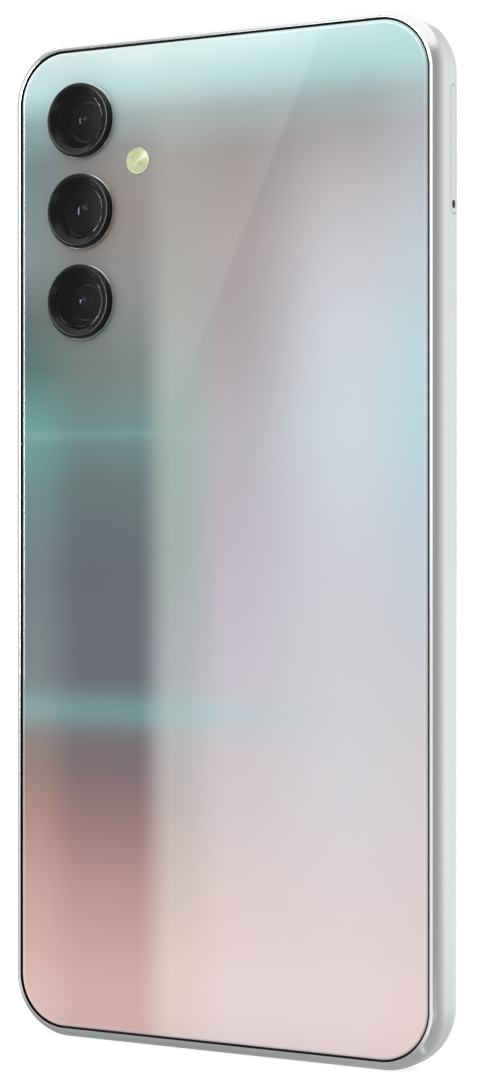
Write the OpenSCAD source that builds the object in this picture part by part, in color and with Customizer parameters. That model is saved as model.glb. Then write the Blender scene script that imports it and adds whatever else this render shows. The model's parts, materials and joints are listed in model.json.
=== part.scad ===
// Slab smartphone, built as the assembly it is: frame, display stack, rear cover,
// cameras, boards, battery, keys, card tray and fasteners, each as its own solid.
// Millimetres. +Z points to the earpiece end, -Y out of the display, +Y out of the rear
// cover, +X to the side with the keys. The origin is the middle of the bottom edge.

/* [Body] */
// Width across the side frame
body_w = 77.6; // [77:0.1:78.4]
// Height from bottom edge to top edge
body_h = 162.1; // [161.5:0.1:163]
// Thickness over display glass and rear cover
body_t = 8.3; // [8.2:0.1:8.4]
// Radius of the four corners, seen from the front
corner_r = 10; // [9.6:0.1:10.4]
// Width of the flat band along the middle of the sides
side_flat = 2.4; // [2.2:0.1:2.6]

/* [Rear cover] */
// Thickness of the rear cover
cover_t = 0.8; // [0.7:0.05:0.9]
// Gap between rear cover and frame lip
cover_gap = 0.35; // [0.3:0.05:0.4]

/* [Cameras] */
// Distance of the camera column from the centre line
camera_x = 25.3; // [25.1:0.1:25.6]
// Depth of the top camera below the top edge
camera_drop = 13.15; // [13:0.05:13.3]
// Spacing of the three cameras
camera_pitch = 14.68; // [14.6:0.02:14.8]
// Outer diameter of a camera ring
ring_d = 12; // [11.9:0.1:12.2]
// Height of a camera ring above the rear cover
ring_rise = 1.15; // [0.9:0.05:1.3]
// Diameter of a camera window
window_d = 9; // [8.9:0.1:9.1]
// Diameter of the flash lens
flash_d = 4.3; // [4.2:0.1:4.4]

/* [Display] */
// Thickness of the display glass
glass_t = 0.55; // [0.5:0.05:0.6]
// Width of the lit area
lit_w = 69; // [68.6:0.1:69.4]
// Height of the lit area
lit_h = 149.5; // [149:0.1:149.8]
// Width of the black border above the lit area
lit_drop = 4.7; // [4.5:0.1:4.8]

/* [Keys] */
// Length of the power key
power_len = 14; // [13:0.5:15]
// Height of the power key's middle above the bottom edge
power_z = 93; // [92:0.5:94]
// Length of the volume key
volume_len = 21; // [20:0.5:22]
// Height of the volume key's middle above the bottom edge
volume_z = 117; // [116.5:0.5:118]
// Width of both keys
key_w = 2.7; // [2.5:0.1:2.8]
// How far the keys stand out of the frame
key_proud = 0.35; // [0.3:0.05:0.4]

/* [Card tray] */
// Length of the tray door
door_len = 19.6; // [19.5:0.1:19.7]
// Width of the tray door
door_w = 2.5; // [2.4:0.1:2.6]
// Height of the door's lower end above the bottom edge
door_z = 130.6; // [130.5:0.1:130.7]
// Diameter of the eject pin hole
pin_d = 1.3; // [1.1:0.1:1.4]
// Depth of the tray behind the frame's side
tray_depth = 24.5; // [24:0.5:25]

/* [Ports] */
// Diameter of the headphone jack bore
jack_d = 3.6; // [3.55:0.05:3.65]
// Depth of the headphone jack bore
jack_depth = 14.5; // [14:0.5:15]
// Distance of the headphone jack from the centre line
jack_x = 22; // [21.8:0.1:22.2]
// Width of the charging port opening
port_w = 8.34; // [8.3:0.02:8.4]
// Height of the charging port opening
port_h = 2.56; // [2.5:0.02:2.6]

/* [Hidden] */
$fn = 48;

// Levels through the thickness, front to back
half_t = body_t / 2;
y_glass = -half_t + glass_t;
y_pocket = y_glass + 0.2;
y_panel = y_glass + 0.75;
y_plate_front = y_panel + 0.1;
y_plate_back = y_plate_front + 0.5;
y_cover_in = half_t - cover_t;
y_ledge = y_cover_in - 0.2;
y_board = [-0.5, 0.3];
y_sub = [-2.1, -1.6];
y_plastic = [2.2, 2.9];
boss_top = y_plastic[0] - 0.05;

// Insets from the outer width and height, front view
lip_out = 1.55;
lip_w = 0.5;
lip_h = 0.15;
shelf_in = 3.1;
shelf_t = 0.25;
wall_in = 2.6;
ledge_in = 3.4;
glass_in = 1.5;
pocket_in = glass_in - 0.1;
cover_in = lip_out + cover_gap;
plate_in = wall_in + 0.05;
bevel = 0.2;
// Rounded edge of the rear cover: its width, its depth and its number of steps
cover_edge_w = 0.6;
cover_edge_h = 0.3;
cover_steps = 3;

half_w = body_w / 2;
mid_z = body_h / 2;
side_key_y = 0;

camera_top_z = body_h - camera_drop;
camera_names = ["upper", "middle", "lower"];
function camera_z(i) = camera_top_z - i * camera_pitch;
// Half width of each camera module, and radius of each lens barrel and of its front lens
module_half = [4, 5.2, 3.6];
barrel_r = [2.8, 3.6, 2.4];
lens_r = [1.2, 1.7, 1.0];
module_y = [y_plate_back + 0.1, 1.9];
barrel_top = 3.75;
// Camera ring: flange beyond the outer wall, level of its foot, bore, flat rim, drop of the band
ring_flange = 0.7;
ring_foot_y = 2.95;
ring_bore = 4.1;
rim_w = 0.5;
band_drop = 0.3;
window_t = 0.5;
window_drop = 0.33;
flash_pos = [camera_x - 10.8, camera_top_z - 7.25];

door_y = -1.15;
tray_y = -1.4;
tray_t = 1.2;
tray_z = [door_z + 3.1, door_z + door_len - 1.1];
pin_z = door_z + 1.45;
pin_y = door_y;
tray_end_x = -half_w + tray_depth;
rod_travel = 1.5;
lever_arm = 3.5;
lever_tilt = asin(rod_travel / 2 / lever_arm);
lever_pivot = [tray_end_x + 1.45, pin_z + lever_arm];
lever_half_w = 0.45;
lever_t = 0.8;
pivot_r = 0.3;
rod_r = 0.4;

port_center_y = 0;
port_depth = 6.2;
port_wall = 0.3;
jack_y = 0;
speaker_x = 20.5;
speaker_slots = 6;
speaker_pitch = 2.7;
mic_r = 0.55;
bottom_mic_x = -9.5;
top_mic_x = 11.5;
selfie_z = body_h - 7.5;
sensor_r = 0.5;
sensor_pos = [7, body_h - lit_drop + 0.65];
motor_pos = [-29.3, 22.4];
motor_r = 4;
shaft_r = 0.4;

battery_x = [-33, 28];
battery_z = [29.5, 112.5];
battery_y = [y_plate_back + 0.12, 2.8];

upper_screws = [
    [-31, 155], [14.5, 155.5], [-33, 127], [-33, 118], [2.5, 118], [16.3, 118], [16.6, 132]
];
lower_screws = [[-32.3, 8], [-12.8, 13], [8.5, 13], [32.3, 8], [-14.5, 23.8], [9.2, 23.8], [32.5, 23.8]];
boss_r = 1.45;
thread_r = 0.55;
shank_r = 0.5;
head_r = 1.2;

// ---------- outlines ----------

// Points of an arc about c, from angle a0 to a1 in n steps
function arc(c, r, a0, a1, n = 8) =
    [for (i = [0:n]) c + r * [cos(a0 + (a1 - a0) * i / n), sin(a0 + (a1 - a0) * i / n)]];

// Rounded rectangle about the origin
function rounded(w, h, r, n = 8) = concat(
    arc([w / 2 - r, h / 2 - r], r, 0, 90, n),
    arc([-w / 2 + r, h / 2 - r], r, 90, 180, n),
    arc([-w / 2 + r, -h / 2 + r], r, 180, 270, n),
    arc([w / 2 - r, -h / 2 + r], r, 270, 360, n));

// The body's front outline, inset by d all round
function body_outline(d) = rounded(body_w - 2 * d, body_h - 2 * d, corner_r - d, 12);

// A ribbon of thickness t that follows the points p
function ribbon(p, t) =
    concat(p, [for (i = [len(p) - 1:-1:0]) p[i] + [0, t]]);

// Section of the frame's outside as [inset, y]: it curves in from a flat band to the front rim and
// to the sloping rear lip
flat_mid = 0.4;
front_y = -half_t + 0.2;
front_in = 0.95;
rim_edge = 0.1;
curve_steps = 6;
flat_y = [flat_mid - side_flat / 2, flat_mid + side_flat / 2];
front_run = flat_y[0] - front_y - rim_edge;
rear_run = half_t - lip_h - flat_y[1];
function curve(t) = pow(t, 2.5);
outside = concat(
    [[front_in + rim_edge, front_y]],
    [for (i = [curve_steps:-1:0])
        [front_in * curve(i / curve_steps), flat_y[0] - front_run * i / curve_steps]],
    [for (i = [0:curve_steps])
        [(lip_out - lip_w) * curve(i / curve_steps), flat_y[1] + rear_run * i / curve_steps]]);
frame_section = concat(
    outside,
    [[lip_out, half_t], [lip_out, y_ledge], [shelf_in, y_ledge], [shelf_in, y_ledge - shelf_t]],
    [[wall_in, y_ledge - shelf_t], [wall_in, y_plate_front]],
    [[ledge_in, y_plate_front], [ledge_in, y_pocket], [pocket_in, y_pocket], [pocket_in, front_y]]);

// ---------- building blocks ----------

// Extrudes an X-Z outline from y[0] to y[1]
module slab(y, at = [0, 0]) {
    translate([at[0], y[1], at[1]])
        rotate([90, 0, 0])
            linear_extrude(y[1] - y[0])
                children();
}

// Box between x, y and z limits
module block(x, y, z) {
    translate([x[0], y[0], z[0]])
        cube([x[1] - x[0], y[1] - y[0], z[1] - z[0]]);
}

// Round bar along Y at [x, z]
module y_rod(r, y, at) {
    translate([at[0], y[1], at[1]])
        rotate([90, 0, 0])
            cylinder(r = r, h = y[1] - y[0]);
}

// Round bar along X at [y, z]
module x_rod(r, x, at) {
    translate([x[0], at[0], at[1]])
        rotate([0, 90, 0])
            cylinder(r = r, h = x[1] - x[0]);
}

// Bar along X whose section is a slot of the given length (Z) and width (Y)
module x_slot(length, width, x, at) {
    translate([x[0], at[0], at[1]])
        rotate([90, 0, 90])
            linear_extrude(x[1] - x[0])
                polygon(rounded(width, length, width / 2 - 0.01));
}

// Bar along Z whose section is a slot of the given length (X) and width (Y)
module z_slot(length, width, z, at) {
    translate([at[0], at[1], z[0]])
        linear_extrude(z[1] - z[0])
            polygon(rounded(length, width, width / 2 - 0.01));
}

// Sweeps an [inset, y] section round the body's outline
module swept(section) {
    for (side = [0, 1])
        mirror([side, 0, 0])
            translate([0, 0, corner_r])
                linear_extrude(body_h - 2 * corner_r)
                    polygon([for (p = section) [half_w - p[0], p[1]]]);
    for (end = [0, 1])
        translate([0, 0, end * body_h])
            mirror([0, 0, end])
                translate([half_w - corner_r, 0, 0])
                    rotate([0, -90, 0])
                        linear_extrude(body_w - 2 * corner_r)
                            polygon([for (p = section) [p[0], p[1]]]);
    for (side = [0, 1], end = [0, 1])
        mirror([side, 0, 0])
            translate([half_w - corner_r, 0, end ? body_h - corner_r : corner_r])
                mirror([0, 0, end])
                    rotate([-90, 0, 0])
                        rotate_extrude(angle = 90)
                            polygon([for (p = section) [corner_r - p[0], p[1]]]);
}

// Unit vector along v
function unit(v) = v / norm(v);

// Direction of the route p at its point i, halfway between its two stretches there
function heading(p, i) = unit(
    (i > 0 ? unit(p[i] - p[i - 1]) : [0, 0, 0])
    + (i < len(p) - 1 ? unit(p[i + 1] - p[i]) : [0, 0, 0]));

// Ring of n points about the route p at its point i, for routes that never run along Y
function ring(p, i, r, n) = let (
    d = heading(p, i),
    u = unit(cross([0, 1, 0], d)),
    v = cross(d, u)
) [for (k = [0:n - 1]) p[i] + r * (cos(360 * k / n) * u + sin(360 * k / n) * v)];

// Round tube of radius r along the route p
module tube(p, r, n = 8) {
    last = len(p) - 1;
    polyhedron(
        points = [for (i = [0:last], q = ring(p, i, r, n)) q],
        faces = concat(
            [[for (k = [0:n - 1]) k]],
            [for (i = [0:last - 1], k = [0:n - 1])
                [i * n + k, (i + 1) * n + k, (i + 1) * n + (k + 1) % n, i * n + (k + 1) % n]],
            [[for (k = [n - 1:-1:0]) last * n + k]]));
}

// ---------- frame ----------

module side_frame() {
    pocket = [half_w - wall_in - 1, half_w - wall_in + 0.75];
    color("#c9cccd")
    difference() {
        swept(frame_section);
        for (key = [[power_len, power_z], [volume_len, volume_z]]) {
            x_slot(key[0] + 0.3, key_w + 0.3, [half_w - wall_in - 1, half_w + 1], [side_key_y, key[1]]);
            x_slot(key[0] + 2.6, key_w + 1.6, pocket, [side_key_y, key[1]]);
        }
        x_slot(door_len + 0.16, door_w + 0.16, [-half_w - 1, -half_w + 1.1],
            [door_y, door_z + door_len / 2]);
        block([-half_w - 1, -half_w + wall_in + 1], [tray_y - tray_t / 2 - 0.12, tray_y + tray_t / 2 + 0.12],
            [tray_z[0] - 0.15, tray_z[1] + 0.15]);
        x_rod(pin_d / 2 + 0.05, [-half_w - 1, -half_w + wall_in + 1], [pin_y, pin_z]);
        z_slot(port_w + 2 * port_wall + 0.06, port_h + 2 * port_wall + 0.06, [-1, wall_in + 1],
            [0, port_center_y]);
        translate([-jack_x, jack_y, -1])
            cylinder(r = jack_d / 2 + 0.65, h = wall_in + 2);
        for (i = [0:speaker_slots - 1])
            z_slot(1.9, 1.3, [-1, wall_in + 1],
                [speaker_x + (i - (speaker_slots - 1) / 2) * speaker_pitch, 0]);
        translate([bottom_mic_x, 0, -1])
            cylinder(r = mic_r, h = wall_in + 2);
        translate([top_mic_x, 0, body_h - wall_in - 1])
            cylinder(r = mic_r, h = wall_in + 2);
        block([-6, 6], [front_y - 1, y_glass + 0.9], [body_h - 2.4, body_h - glass_in - 0.05]);
    }
}

module mid_plate() {
    color("#9a9da1")
    difference() {
        union() {
            slab([y_plate_front, y_plate_back], [0, mid_z])
                polygon(body_outline(plate_in));
            for (at = concat(upper_screws, lower_screws))
                y_rod(boss_r, [y_plate_front + 0.2, boss_top], at);
        }
        for (at = concat(upper_screws, lower_screws))
            y_rod(thread_r, [y_plate_back, boss_top + 1], at);
        block([-0.5, 8.5], [-half_t, 0], [26.2, 28.8]);
        y_rod(3.1, [-half_t, 0], [0, selfie_z]);
        block([-7, 7], [-half_t, 0], [body_h - 4.6, body_h]);
        y_rod(sensor_r + 0.15, [-half_t, 0], sensor_pos);
    }
}

// ---------- display ----------

module display_glass() {
    color("#101216")
    difference() {
        union() {
            slab([-half_t + bevel, y_glass], [0, mid_z])
                polygon(body_outline(glass_in));
            slab([-half_t, -half_t + bevel], [0, mid_z])
                polygon(body_outline(glass_in + bevel));
        }
        block([-6, 6], [-half_t - 1, half_t], [body_h - glass_in - 0.75, body_h]);
    }
}

module display_panel() {
    lit_z = body_h - lit_drop - lit_h / 2;
    color("#1c1e24")
    slab([y_glass, y_panel], [0, lit_z])
        difference() {
            polygon(rounded(lit_w, lit_h, 7));
            translate([0, selfie_z - lit_z])
                circle(r = 3.1);
            translate([-3.1, selfie_z - lit_z])
                square([6.2, 4]);
        }
}

module display_adhesive() {
    color("#26282b")
    slab([y_glass, y_pocket], [0, mid_z])
        difference() {
            polygon(body_outline(glass_in + 0.25));
            polygon(body_outline(ledge_in - 0.1));
            translate([-6.2, mid_z - 2.6])
                square([12.4, 3]);
        }
}

module display_flex() {
    x = [0.5, 7.5];
    top = y_sub[1] + 0.4;
    color("#b5792c")
    union() {
        block(x, [y_panel, y_panel + 0.08], [13, 26.7]);
        block(x, [y_panel, top], [26.6, 26.7]);
        block(x, [top - 0.1, top], [18.5, 26.7]);
    }
}

// ---------- rear cover ----------

module back_panel() {
    color("#b9bcc4")
    difference() {
        union() {
            slab([y_cover_in, half_t - cover_edge_h], [0, mid_z])
                polygon(body_outline(cover_in));
            for (i = [1:cover_steps])
                slab([half_t - cover_edge_h, half_t - cover_edge_h * (1 - sin(90 * i / cover_steps))],
                    [0, mid_z])
                    polygon(body_outline(cover_in + cover_edge_w * (1 - cos(90 * i / cover_steps))));
        }
        for (i = [0:2])
            y_rod(ring_d / 2 + 0.12, [0, half_t + 1], [camera_x, camera_z(i)]);
        y_rod(flash_d / 2 + 0.08, [0, half_t + 1], flash_pos);
    }
}

module back_adhesive() {
    color("#2b2d30")
    slab([y_ledge, y_cover_in], [0, mid_z])
        difference() {
            polygon(body_outline(cover_in + 0.1));
            polygon(body_outline(shelf_in - 0.05));
        }
}

// ---------- cameras ----------

// Ring round camera i: a flange under the cover, a straight wall and a sloping inner band
module camera_ring(i) {
    top = half_t + ring_rise;
    outer = ring_d / 2;
    seat = window_d / 2 + 0.05;
    color("#121315")
    translate([camera_x, 0, camera_z(i)])
        rotate([-90, 0, 0])
            rotate_extrude()
                polygon([
                    [ring_bore, ring_foot_y], [outer + ring_flange, ring_foot_y],
                    [outer + ring_flange, y_cover_in - 0.05], [outer, y_cover_in - 0.05],
                    [outer, top - 0.15], [outer - 0.15, top], [outer - rim_w, top],
                    [seat, top - band_drop], [seat, top - window_drop - window_t - 0.02],
                    [ring_bore, top - window_drop - window_t - 0.02]
                ]);
}

module camera_window(i) {
    top = half_t + ring_rise - window_drop;
    color("#1a1b1f")
    y_rod(window_d / 2, [top - window_t, top], [camera_x, camera_z(i)]);
}

module camera_module(i) {
    m = module_half[i];
    color("#2a2c31")
    difference() {
        block([camera_x - m, camera_x + m], module_y, [camera_z(i) - m, camera_z(i) + m]);
        y_rod(barrel_r[i] + 0.06, [0, 3], [camera_x, camera_z(i)]);
    }
}

// Barrel with its stepped black cone and the front lens in one bonded piece
module lens_barrel(i) {
    r = barrel_r[i];
    color("#0d0e10")
    translate([camera_x, 0, camera_z(i)])
        rotate([-90, 0, 0])
            rotate_extrude()
                polygon([
                    [0, 0.1], [r, 0.1], [r, barrel_top - 0.3], [r - 0.3, barrel_top],
                    [lens_r[i] + 0.5, barrel_top], [lens_r[i], barrel_top - 0.35],
                    [lens_r[i] * 0.7, barrel_top - 0.22], [lens_r[i] * 0.35, barrel_top - 0.14],
                    [0, barrel_top - 0.12]
                ]);
}

module camera_bracket() {
    color("#8d9093")
    difference() {
        block([camera_x - 6, camera_x + 6.4], [1.95, 2.15], [camera_z(2) - 5, camera_z(0) + 5.2]);
        for (i = [0:2])
            y_rod(barrel_r[i] + 0.3, [1, 3], [camera_x, camera_z(i)]);
    }
}

module flash_lens() {
    color("#e8ecc8")
    union() {
        y_rod(flash_d / 2, [y_cover_in - 0.3, half_t + 0.05], flash_pos);
        y_rod(flash_d / 2 + 0.6, [y_cover_in - 0.3, y_cover_in - 0.05], flash_pos);
    }
}

module flash_led() {
    color("#f2e27a")
    union() {
        block([flash_pos[0] - 1.5, flash_pos[0] + 1.5], [y_board[1], 2.2],
            [flash_pos[1] - 1.5, flash_pos[1] + 1.5]);
        y_rod(0.9, [2.2, 2.55], flash_pos);
    }
}

// ---------- boards ----------

main_outline = [
    [-34.5, 115.5], [18.8, 115.5], [18.8, 157], [3.8, 157], [3.8, 150.4], [-19.5, 150.4],
    [-19.5, 158], [-29, 158], [-34.5, 152.5]
];

module main_board() {
    color("#1f5a3c")
    difference() {
        slab(y_board)
            polygon(main_outline);
        for (at = upper_screws)
            y_rod(boss_r + 0.15, [-1, 1], at);
    }
}

// Shield cans over the chips, as [x range, z range]
shields = [[[-30, -14], [121, 149]], [[-12.5, 7.5], [121, 141]], [[-12.5, 10.5], [142.2, 149.6]]];

module board_shields() {
    wall = 0.2;
    top = y_board[1] + 1.4;
    color("#c4c6c8")
    for (s = shields)
        difference() {
            block(s[0], [y_board[1], top], s[1]);
            block([s[0][0] + wall, s[0][1] - wall], [y_board[1] - 1, top - wall],
                [s[1][0] + wall, s[1][1] - wall]);
        }
}

// Chips and sockets on the main board, as [x, z, width, height, thickness]
chips = [
    [-22, 141, 11, 11, 1], [-22, 128, 9, 10, 0.9], [-3, 134, 13, 11, 1],
    [-7, 124.5, 6, 5, 0.8], [2.5, 124.5, 5, 5, 0.8], [-5, 146, 9, 5, 0.8], [5, 146, 6, 5, 0.8],
    [-26, 118, 8, 3, 0.7], [-7.5, 118, 8, 3, 0.75], [7.6, 118, 6, 3, 0.7], [13.6, 124.5, 5, 3, 0.7],
    [14.8, 150.4, 5, 3, 0.7]
];
// Sockets on the lower board, listed the same way
sockets = [[4, 20.2, 6, 3, 0.3], [-7.5, 18.8, 8, 3, 0.35]];

// One chip standing on the board face at y
module chip(c, y) {
    block([c[0] - c[2] / 2, c[0] + c[2] / 2], [y, y + c[4]], [c[1] - c[3] / 2, c[1] + c[3] / 2]);
}

module board_chips() {
    color("#17181a")
    union() {
        for (c = chips)
            chip(c, y_board[1]);
        for (c = sockets)
            chip(c, y_sub[1]);
    }
}

module sub_board() {
    color("#1f5a3c")
    difference() {
        slab(y_sub)
            polygon([[-29, 3], [10.4, 3], [10.4, 21], [34.5, 21], [34.5, 26], [-25, 26], [-25, 18],
                [-34.5, 18], [-34.5, 9]]);
        for (at = lower_screws)
            y_rod(boss_r + 0.15, [-half_t, 0], at);
        block([-jack_x - 3.2, -jack_x + 3.2], [-half_t, 0], [0, jack_depth + 1.6]);
    }
}

// ---------- ports ----------

module port_shell() {
    color("#b4b7ba")
    difference() {
        z_slot(port_w + 2 * port_wall, port_h + 2 * port_wall, [0.15, port_depth + 1.2],
            [0, port_center_y]);
        z_slot(port_w, port_h, [-1, port_depth], [0, port_center_y]);
    }
}

module port_tongue() {
    color("#1b1c1e")
    block([-3.35, 3.35], [port_center_y - 0.35, port_center_y + 0.35], [0.9, port_depth]);
}

module headphone_jack() {
    bore = jack_d / 2;
    color("#d8dadb")
    difference() {
        union() {
            translate([-jack_x, jack_y, 0.35])
                cylinder(r = bore + 0.6, h = wall_in - 0.35);
            block([-jack_x - 3, -jack_x + 3], [jack_y - 2.1, jack_y + 2.1],
                [wall_in, jack_depth + 1.3]);
        }
        translate([-jack_x, jack_y, -1])
            cylinder(r = bore, h = jack_depth + 1);
        for (z = [5, 8.5, 12])
            block([-jack_x + bore - 0.1, -jack_x + 2.6], [jack_y - 0.6, jack_y + 0.6], [z - 0.9, z + 0.9]);
    }
}

module jack_contacts() {
    bore = jack_d / 2;
    color("#d9b75a")
    for (z = [5, 8.5, 12])
        block([-jack_x + bore + 0.35, -jack_x + 2.6], [jack_y - 0.5, jack_y + 0.5], [z - 0.7, z + 0.7]);
}

// ---------- sound and touch ----------

module loudspeaker() {
    color("#27292c")
    difference() {
        block([speaker_x - 8.5, speaker_x + 8.5], [-2.1, 1.9], [4.2, 20.2]);
        block([speaker_x - 7.2, speaker_x + 7.2], [-1.2, 0.9], [3, 6.4]);
        y_rod(3.2, [1.4, 3], [speaker_x, 13.6]);
    }
}

module speaker_mesh() {
    color("#3a3c3f")
    block([speaker_x - 8, speaker_x + 8], [-1.1, 1.1], [wall_in, wall_in + 0.25]);
}

module vibration_case() {
    y0 = y_plate_back + 0.1;
    y1 = 0.6;
    color("#bfc1c3")
    difference() {
        y_rod(motor_r, [y0, y1], motor_pos);
        difference() {
            y_rod(motor_r - 0.2, [y0 + 0.2, y1 - 0.2], motor_pos);
            y_rod(shaft_r, [y0, y1], motor_pos);
        }
    }
}

module vibration_rotor() {
    y0 = y_plate_back + 0.6;
    color("#8f7a55")
    difference() {
        y_rod(motor_r - 0.45, [y0, 0.1], motor_pos);
        y_rod(shaft_r + 0.05, [y0 - 1, 1], motor_pos);
        difference() {
            block([motor_pos[0] - 5, motor_pos[0] + 5], [y0 - 1, 1], [motor_pos[1] + 0.3, motor_pos[1] + 5]);
            y_rod(1, [y0 - 2, 2], motor_pos);
        }
    }
}

module bottom_microphone() {
    color("#c8b27a")
    block([bottom_mic_x - 1.4, bottom_mic_x + 1.4], [y_sub[1], y_sub[1] + 1.1], [3.1, 6.3]);
}

module top_microphone() {
    color("#c8b27a")
    block([top_mic_x - 1.6, top_mic_x + 1.2], [y_board[0] - 1.1, y_board[0]], [152.8, 156.6]);
}

module earpiece() {
    color("#27292c")
    difference() {
        block([-18.3, -5.3], [y_plate_back + 0.05, 0.4], [153.4, 159.2]);
        block([-16.3, -7.3], [-0.1, 1], [154.6, 158]);
    }
}

module earpiece_mesh() {
    color("#2e3033")
    block([-5.9, 5.9], [-half_t + 0.25, y_glass - 0.02],
        [body_h - glass_in - 0.7, body_h - glass_in - 0.15]);
}

module light_sensor() {
    color("#33343a")
    union() {
        y_rod(sensor_r, [y_glass + 0.02, y_plate_back + 0.1], sensor_pos);
        block([sensor_pos[0] - 1.2, sensor_pos[0] + 1.2], [y_plate_back + 0.1, y_board[0]],
            [sensor_pos[1] - 2.6, sensor_pos[1] + 0.7]);
    }
}

module front_camera() {
    z = selfie_z;
    color("#15161a")
    union() {
        block([-2.8, 2.8], [y_plate_back + 0.1, 0.6], [z - 2.9, z + 2.9]);
        y_rod(2.7, [y_panel, y_plate_back + 0.1], [0, z]);
        y_rod(1.7, [y_glass + 0.05, y_panel], [0, z]);
    }
}

// ---------- power and cables ----------

module battery() {
    w = battery_x[1] - battery_x[0];
    h = battery_z[1] - battery_z[0];
    color("#34373c")
    slab(battery_y, [battery_x[0] + w / 2, battery_z[0] + h / 2])
        polygon(rounded(w, h, 1.5));
}

module battery_adhesive() {
    color("#e4e4de")
    for (x = [-26, -8, 10])
        block([x, x + 10], [y_plate_back, battery_y[0]], [battery_z[0] + 4, battery_z[1] - 4]);
}

module battery_lead() {
    color("#b5792c")
    union() {
        block([4.8, 10.4], [1.0, 1.15], [battery_z[1], 119.2]);
        block([4.8, 10.4], [1.0, 1.7], [battery_z[1], battery_z[1] + 1.2]);
    }
}

// Links the two boards across the battery's rear face
module main_flex() {
    path = [
        [17, -1.25], [26.5, -1.25], [28.9, battery_y[1] + 0.05], [113.2, battery_y[1] + 0.05],
        [114.9, 1.05], [119.4, 1.05]
    ];
    color("#8a4b20")
    translate([-12.2, 0, 0])
        rotate([90, 0, 90])
            linear_extrude(9.5)
                polygon([for (p = ribbon(path, 0.14)) [p[1], p[0]]]);
}

// Thin coaxial lead beside the battery, with a round plug on each board
cable_r = 0.4;
cable_route = [
    [30.3, -0.9, 22.3], [30.3, -0.9, 27], [30.3, 0.8, 33], [30.3, 0.8, 113.2], [29.6, 0.8, 113.9],
    [16.2, 0.8, 113.9], [12.6, 0.8, 117.6]
];

module antenna_cable() {
    last = len(cable_route) - 1;
    color("#e6e6e6")
    union() {
        tube(cable_route, cable_r);
        y_rod(1, [y_sub[1], y_sub[1] + 1.1], [cable_route[0][0], cable_route[0][2]]);
        y_rod(1, [y_board[1], y_board[1] + 1], [cable_route[last][0], cable_route[last][2]]);
    }
}

// ---------- inner covers and screws ----------

// Clearance hole and head recess for a screw in a plastic cover
module screw_seat(at) {
    y_rod(shank_r + 0.25, [0, 4], at);
    y_rod(head_r + 0.15, [y_plastic[0] + 0.25, 4], at);
}

module upper_cover() {
    color("#3b3e43")
    difference() {
        slab(y_plastic)
            polygon([[-35, 116], [34, 116], [34, 154], [29, 158.6], [-29, 158.6], [-35, 154]]);
        for (at = upper_screws)
            screw_seat(at);
        for (i = [0:2])
            y_rod(barrel_r[i] + 0.6, [0, 4], [camera_x, camera_z(i)]);
        y_rod(flash_d / 2 + 0.3, [0, 4], flash_pos);
    }
}

module lower_cover() {
    color("#3b3e43")
    difference() {
        slab(y_plastic)
            polygon([[-35, 9.5], [-29, 3.5], [29, 3.5], [35, 9.5], [35, 27], [-35, 27]]);
        for (at = lower_screws)
            screw_seat(at);
    }
}

module cover_screws() {
    color("#6b6e72")
    for (at = concat(upper_screws, lower_screws))
        difference() {
            union() {
                y_rod(head_r, [y_plastic[0] + 0.25, y_plastic[1]], at);
                y_rod(shank_r, [-1.2, y_plastic[0] + 0.25], at);
            }
            block([at[0] - 0.6, at[0] + 0.6], [y_plastic[1] - 0.25, 4], [at[1] - 0.13, at[1] + 0.13]);
            block([at[0] - 0.13, at[0] + 0.13], [y_plastic[1] - 0.25, 4], [at[1] - 0.6, at[1] + 0.6]);
        }
}

module nfc_antenna() {
    color("#40434a")
    slab([y_plastic[1] + 0.02, y_plastic[1] + 0.17], [-10.5, 137])
        difference() {
            polygon(rounded(42, 28, 3));
            polygon(rounded(34, 20, 2));
        }
}

// ---------- keys ----------

// A key cap through the frame with a retaining flange behind the wall
module key_cap(length, z, flange_gap) {
    flange_x = half_w - wall_in + 0.75 - flange_gap;
    x_slot(length, key_w, [flange_x - 0.3, half_w + key_proud], [side_key_y, z]);
    x_slot(length + 2, key_w + 1.1, [flange_x - 0.5, flange_x], [side_key_y, z]);
}

module power_key() {
    color("#c2c5c7")
    difference() {
        key_cap(power_len, power_z, 0.05);
        x_slot(power_len - 2.4, key_w - 0.9, [half_w + key_proud - 0.3, half_w + 1],
            [side_key_y, power_z]);
    }
}

module fingerprint_sensor() {
    color("#aab0b4")
    x_slot(power_len - 2.5, key_w - 1, [half_w + key_proud - 0.3, half_w + key_proud - 0.08],
        [side_key_y, power_z]);
}

rocker_x = half_w - wall_in - 0.35;

module volume_key() {
    color("#c2c5c7")
    union() {
        key_cap(volume_len, volume_z, 0.3);
        translate([rocker_x, side_key_y - 1.3, volume_z])
            rotate([-90, 0, 0])
                cylinder(r = 0.6, h = 2.6);
    }
}

key_flex_x = half_w - wall_in - 1.05;
// Switches as [z, height]: one under the power key, one under each end of the volume key
switches = [[power_z, 0.9], [volume_z - 7.5, 0.75], [volume_z + 7.5, 0.75]];

module key_switches() {
    color("#d6d8da")
    for (s = switches)
        block([key_flex_x, key_flex_x + s[1]], [side_key_y - 1.1, side_key_y + 1.1],
            [s[0] - 1.6, s[0] + 1.6]);
}

module key_flex() {
    color("#b5792c")
    block([key_flex_x - 0.12, key_flex_x], [side_key_y - 1.4, side_key_y + 1.4],
        [power_z - 6, volume_z + 11]);
}

module key_bracket() {
    color("#8d9093")
    block([key_flex_x - 0.5, key_flex_x - 0.12], [side_key_y - 1.6, side_key_y + 1.6],
        [power_z - 8, volume_z + 12]);
}

// ---------- card tray ----------

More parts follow.
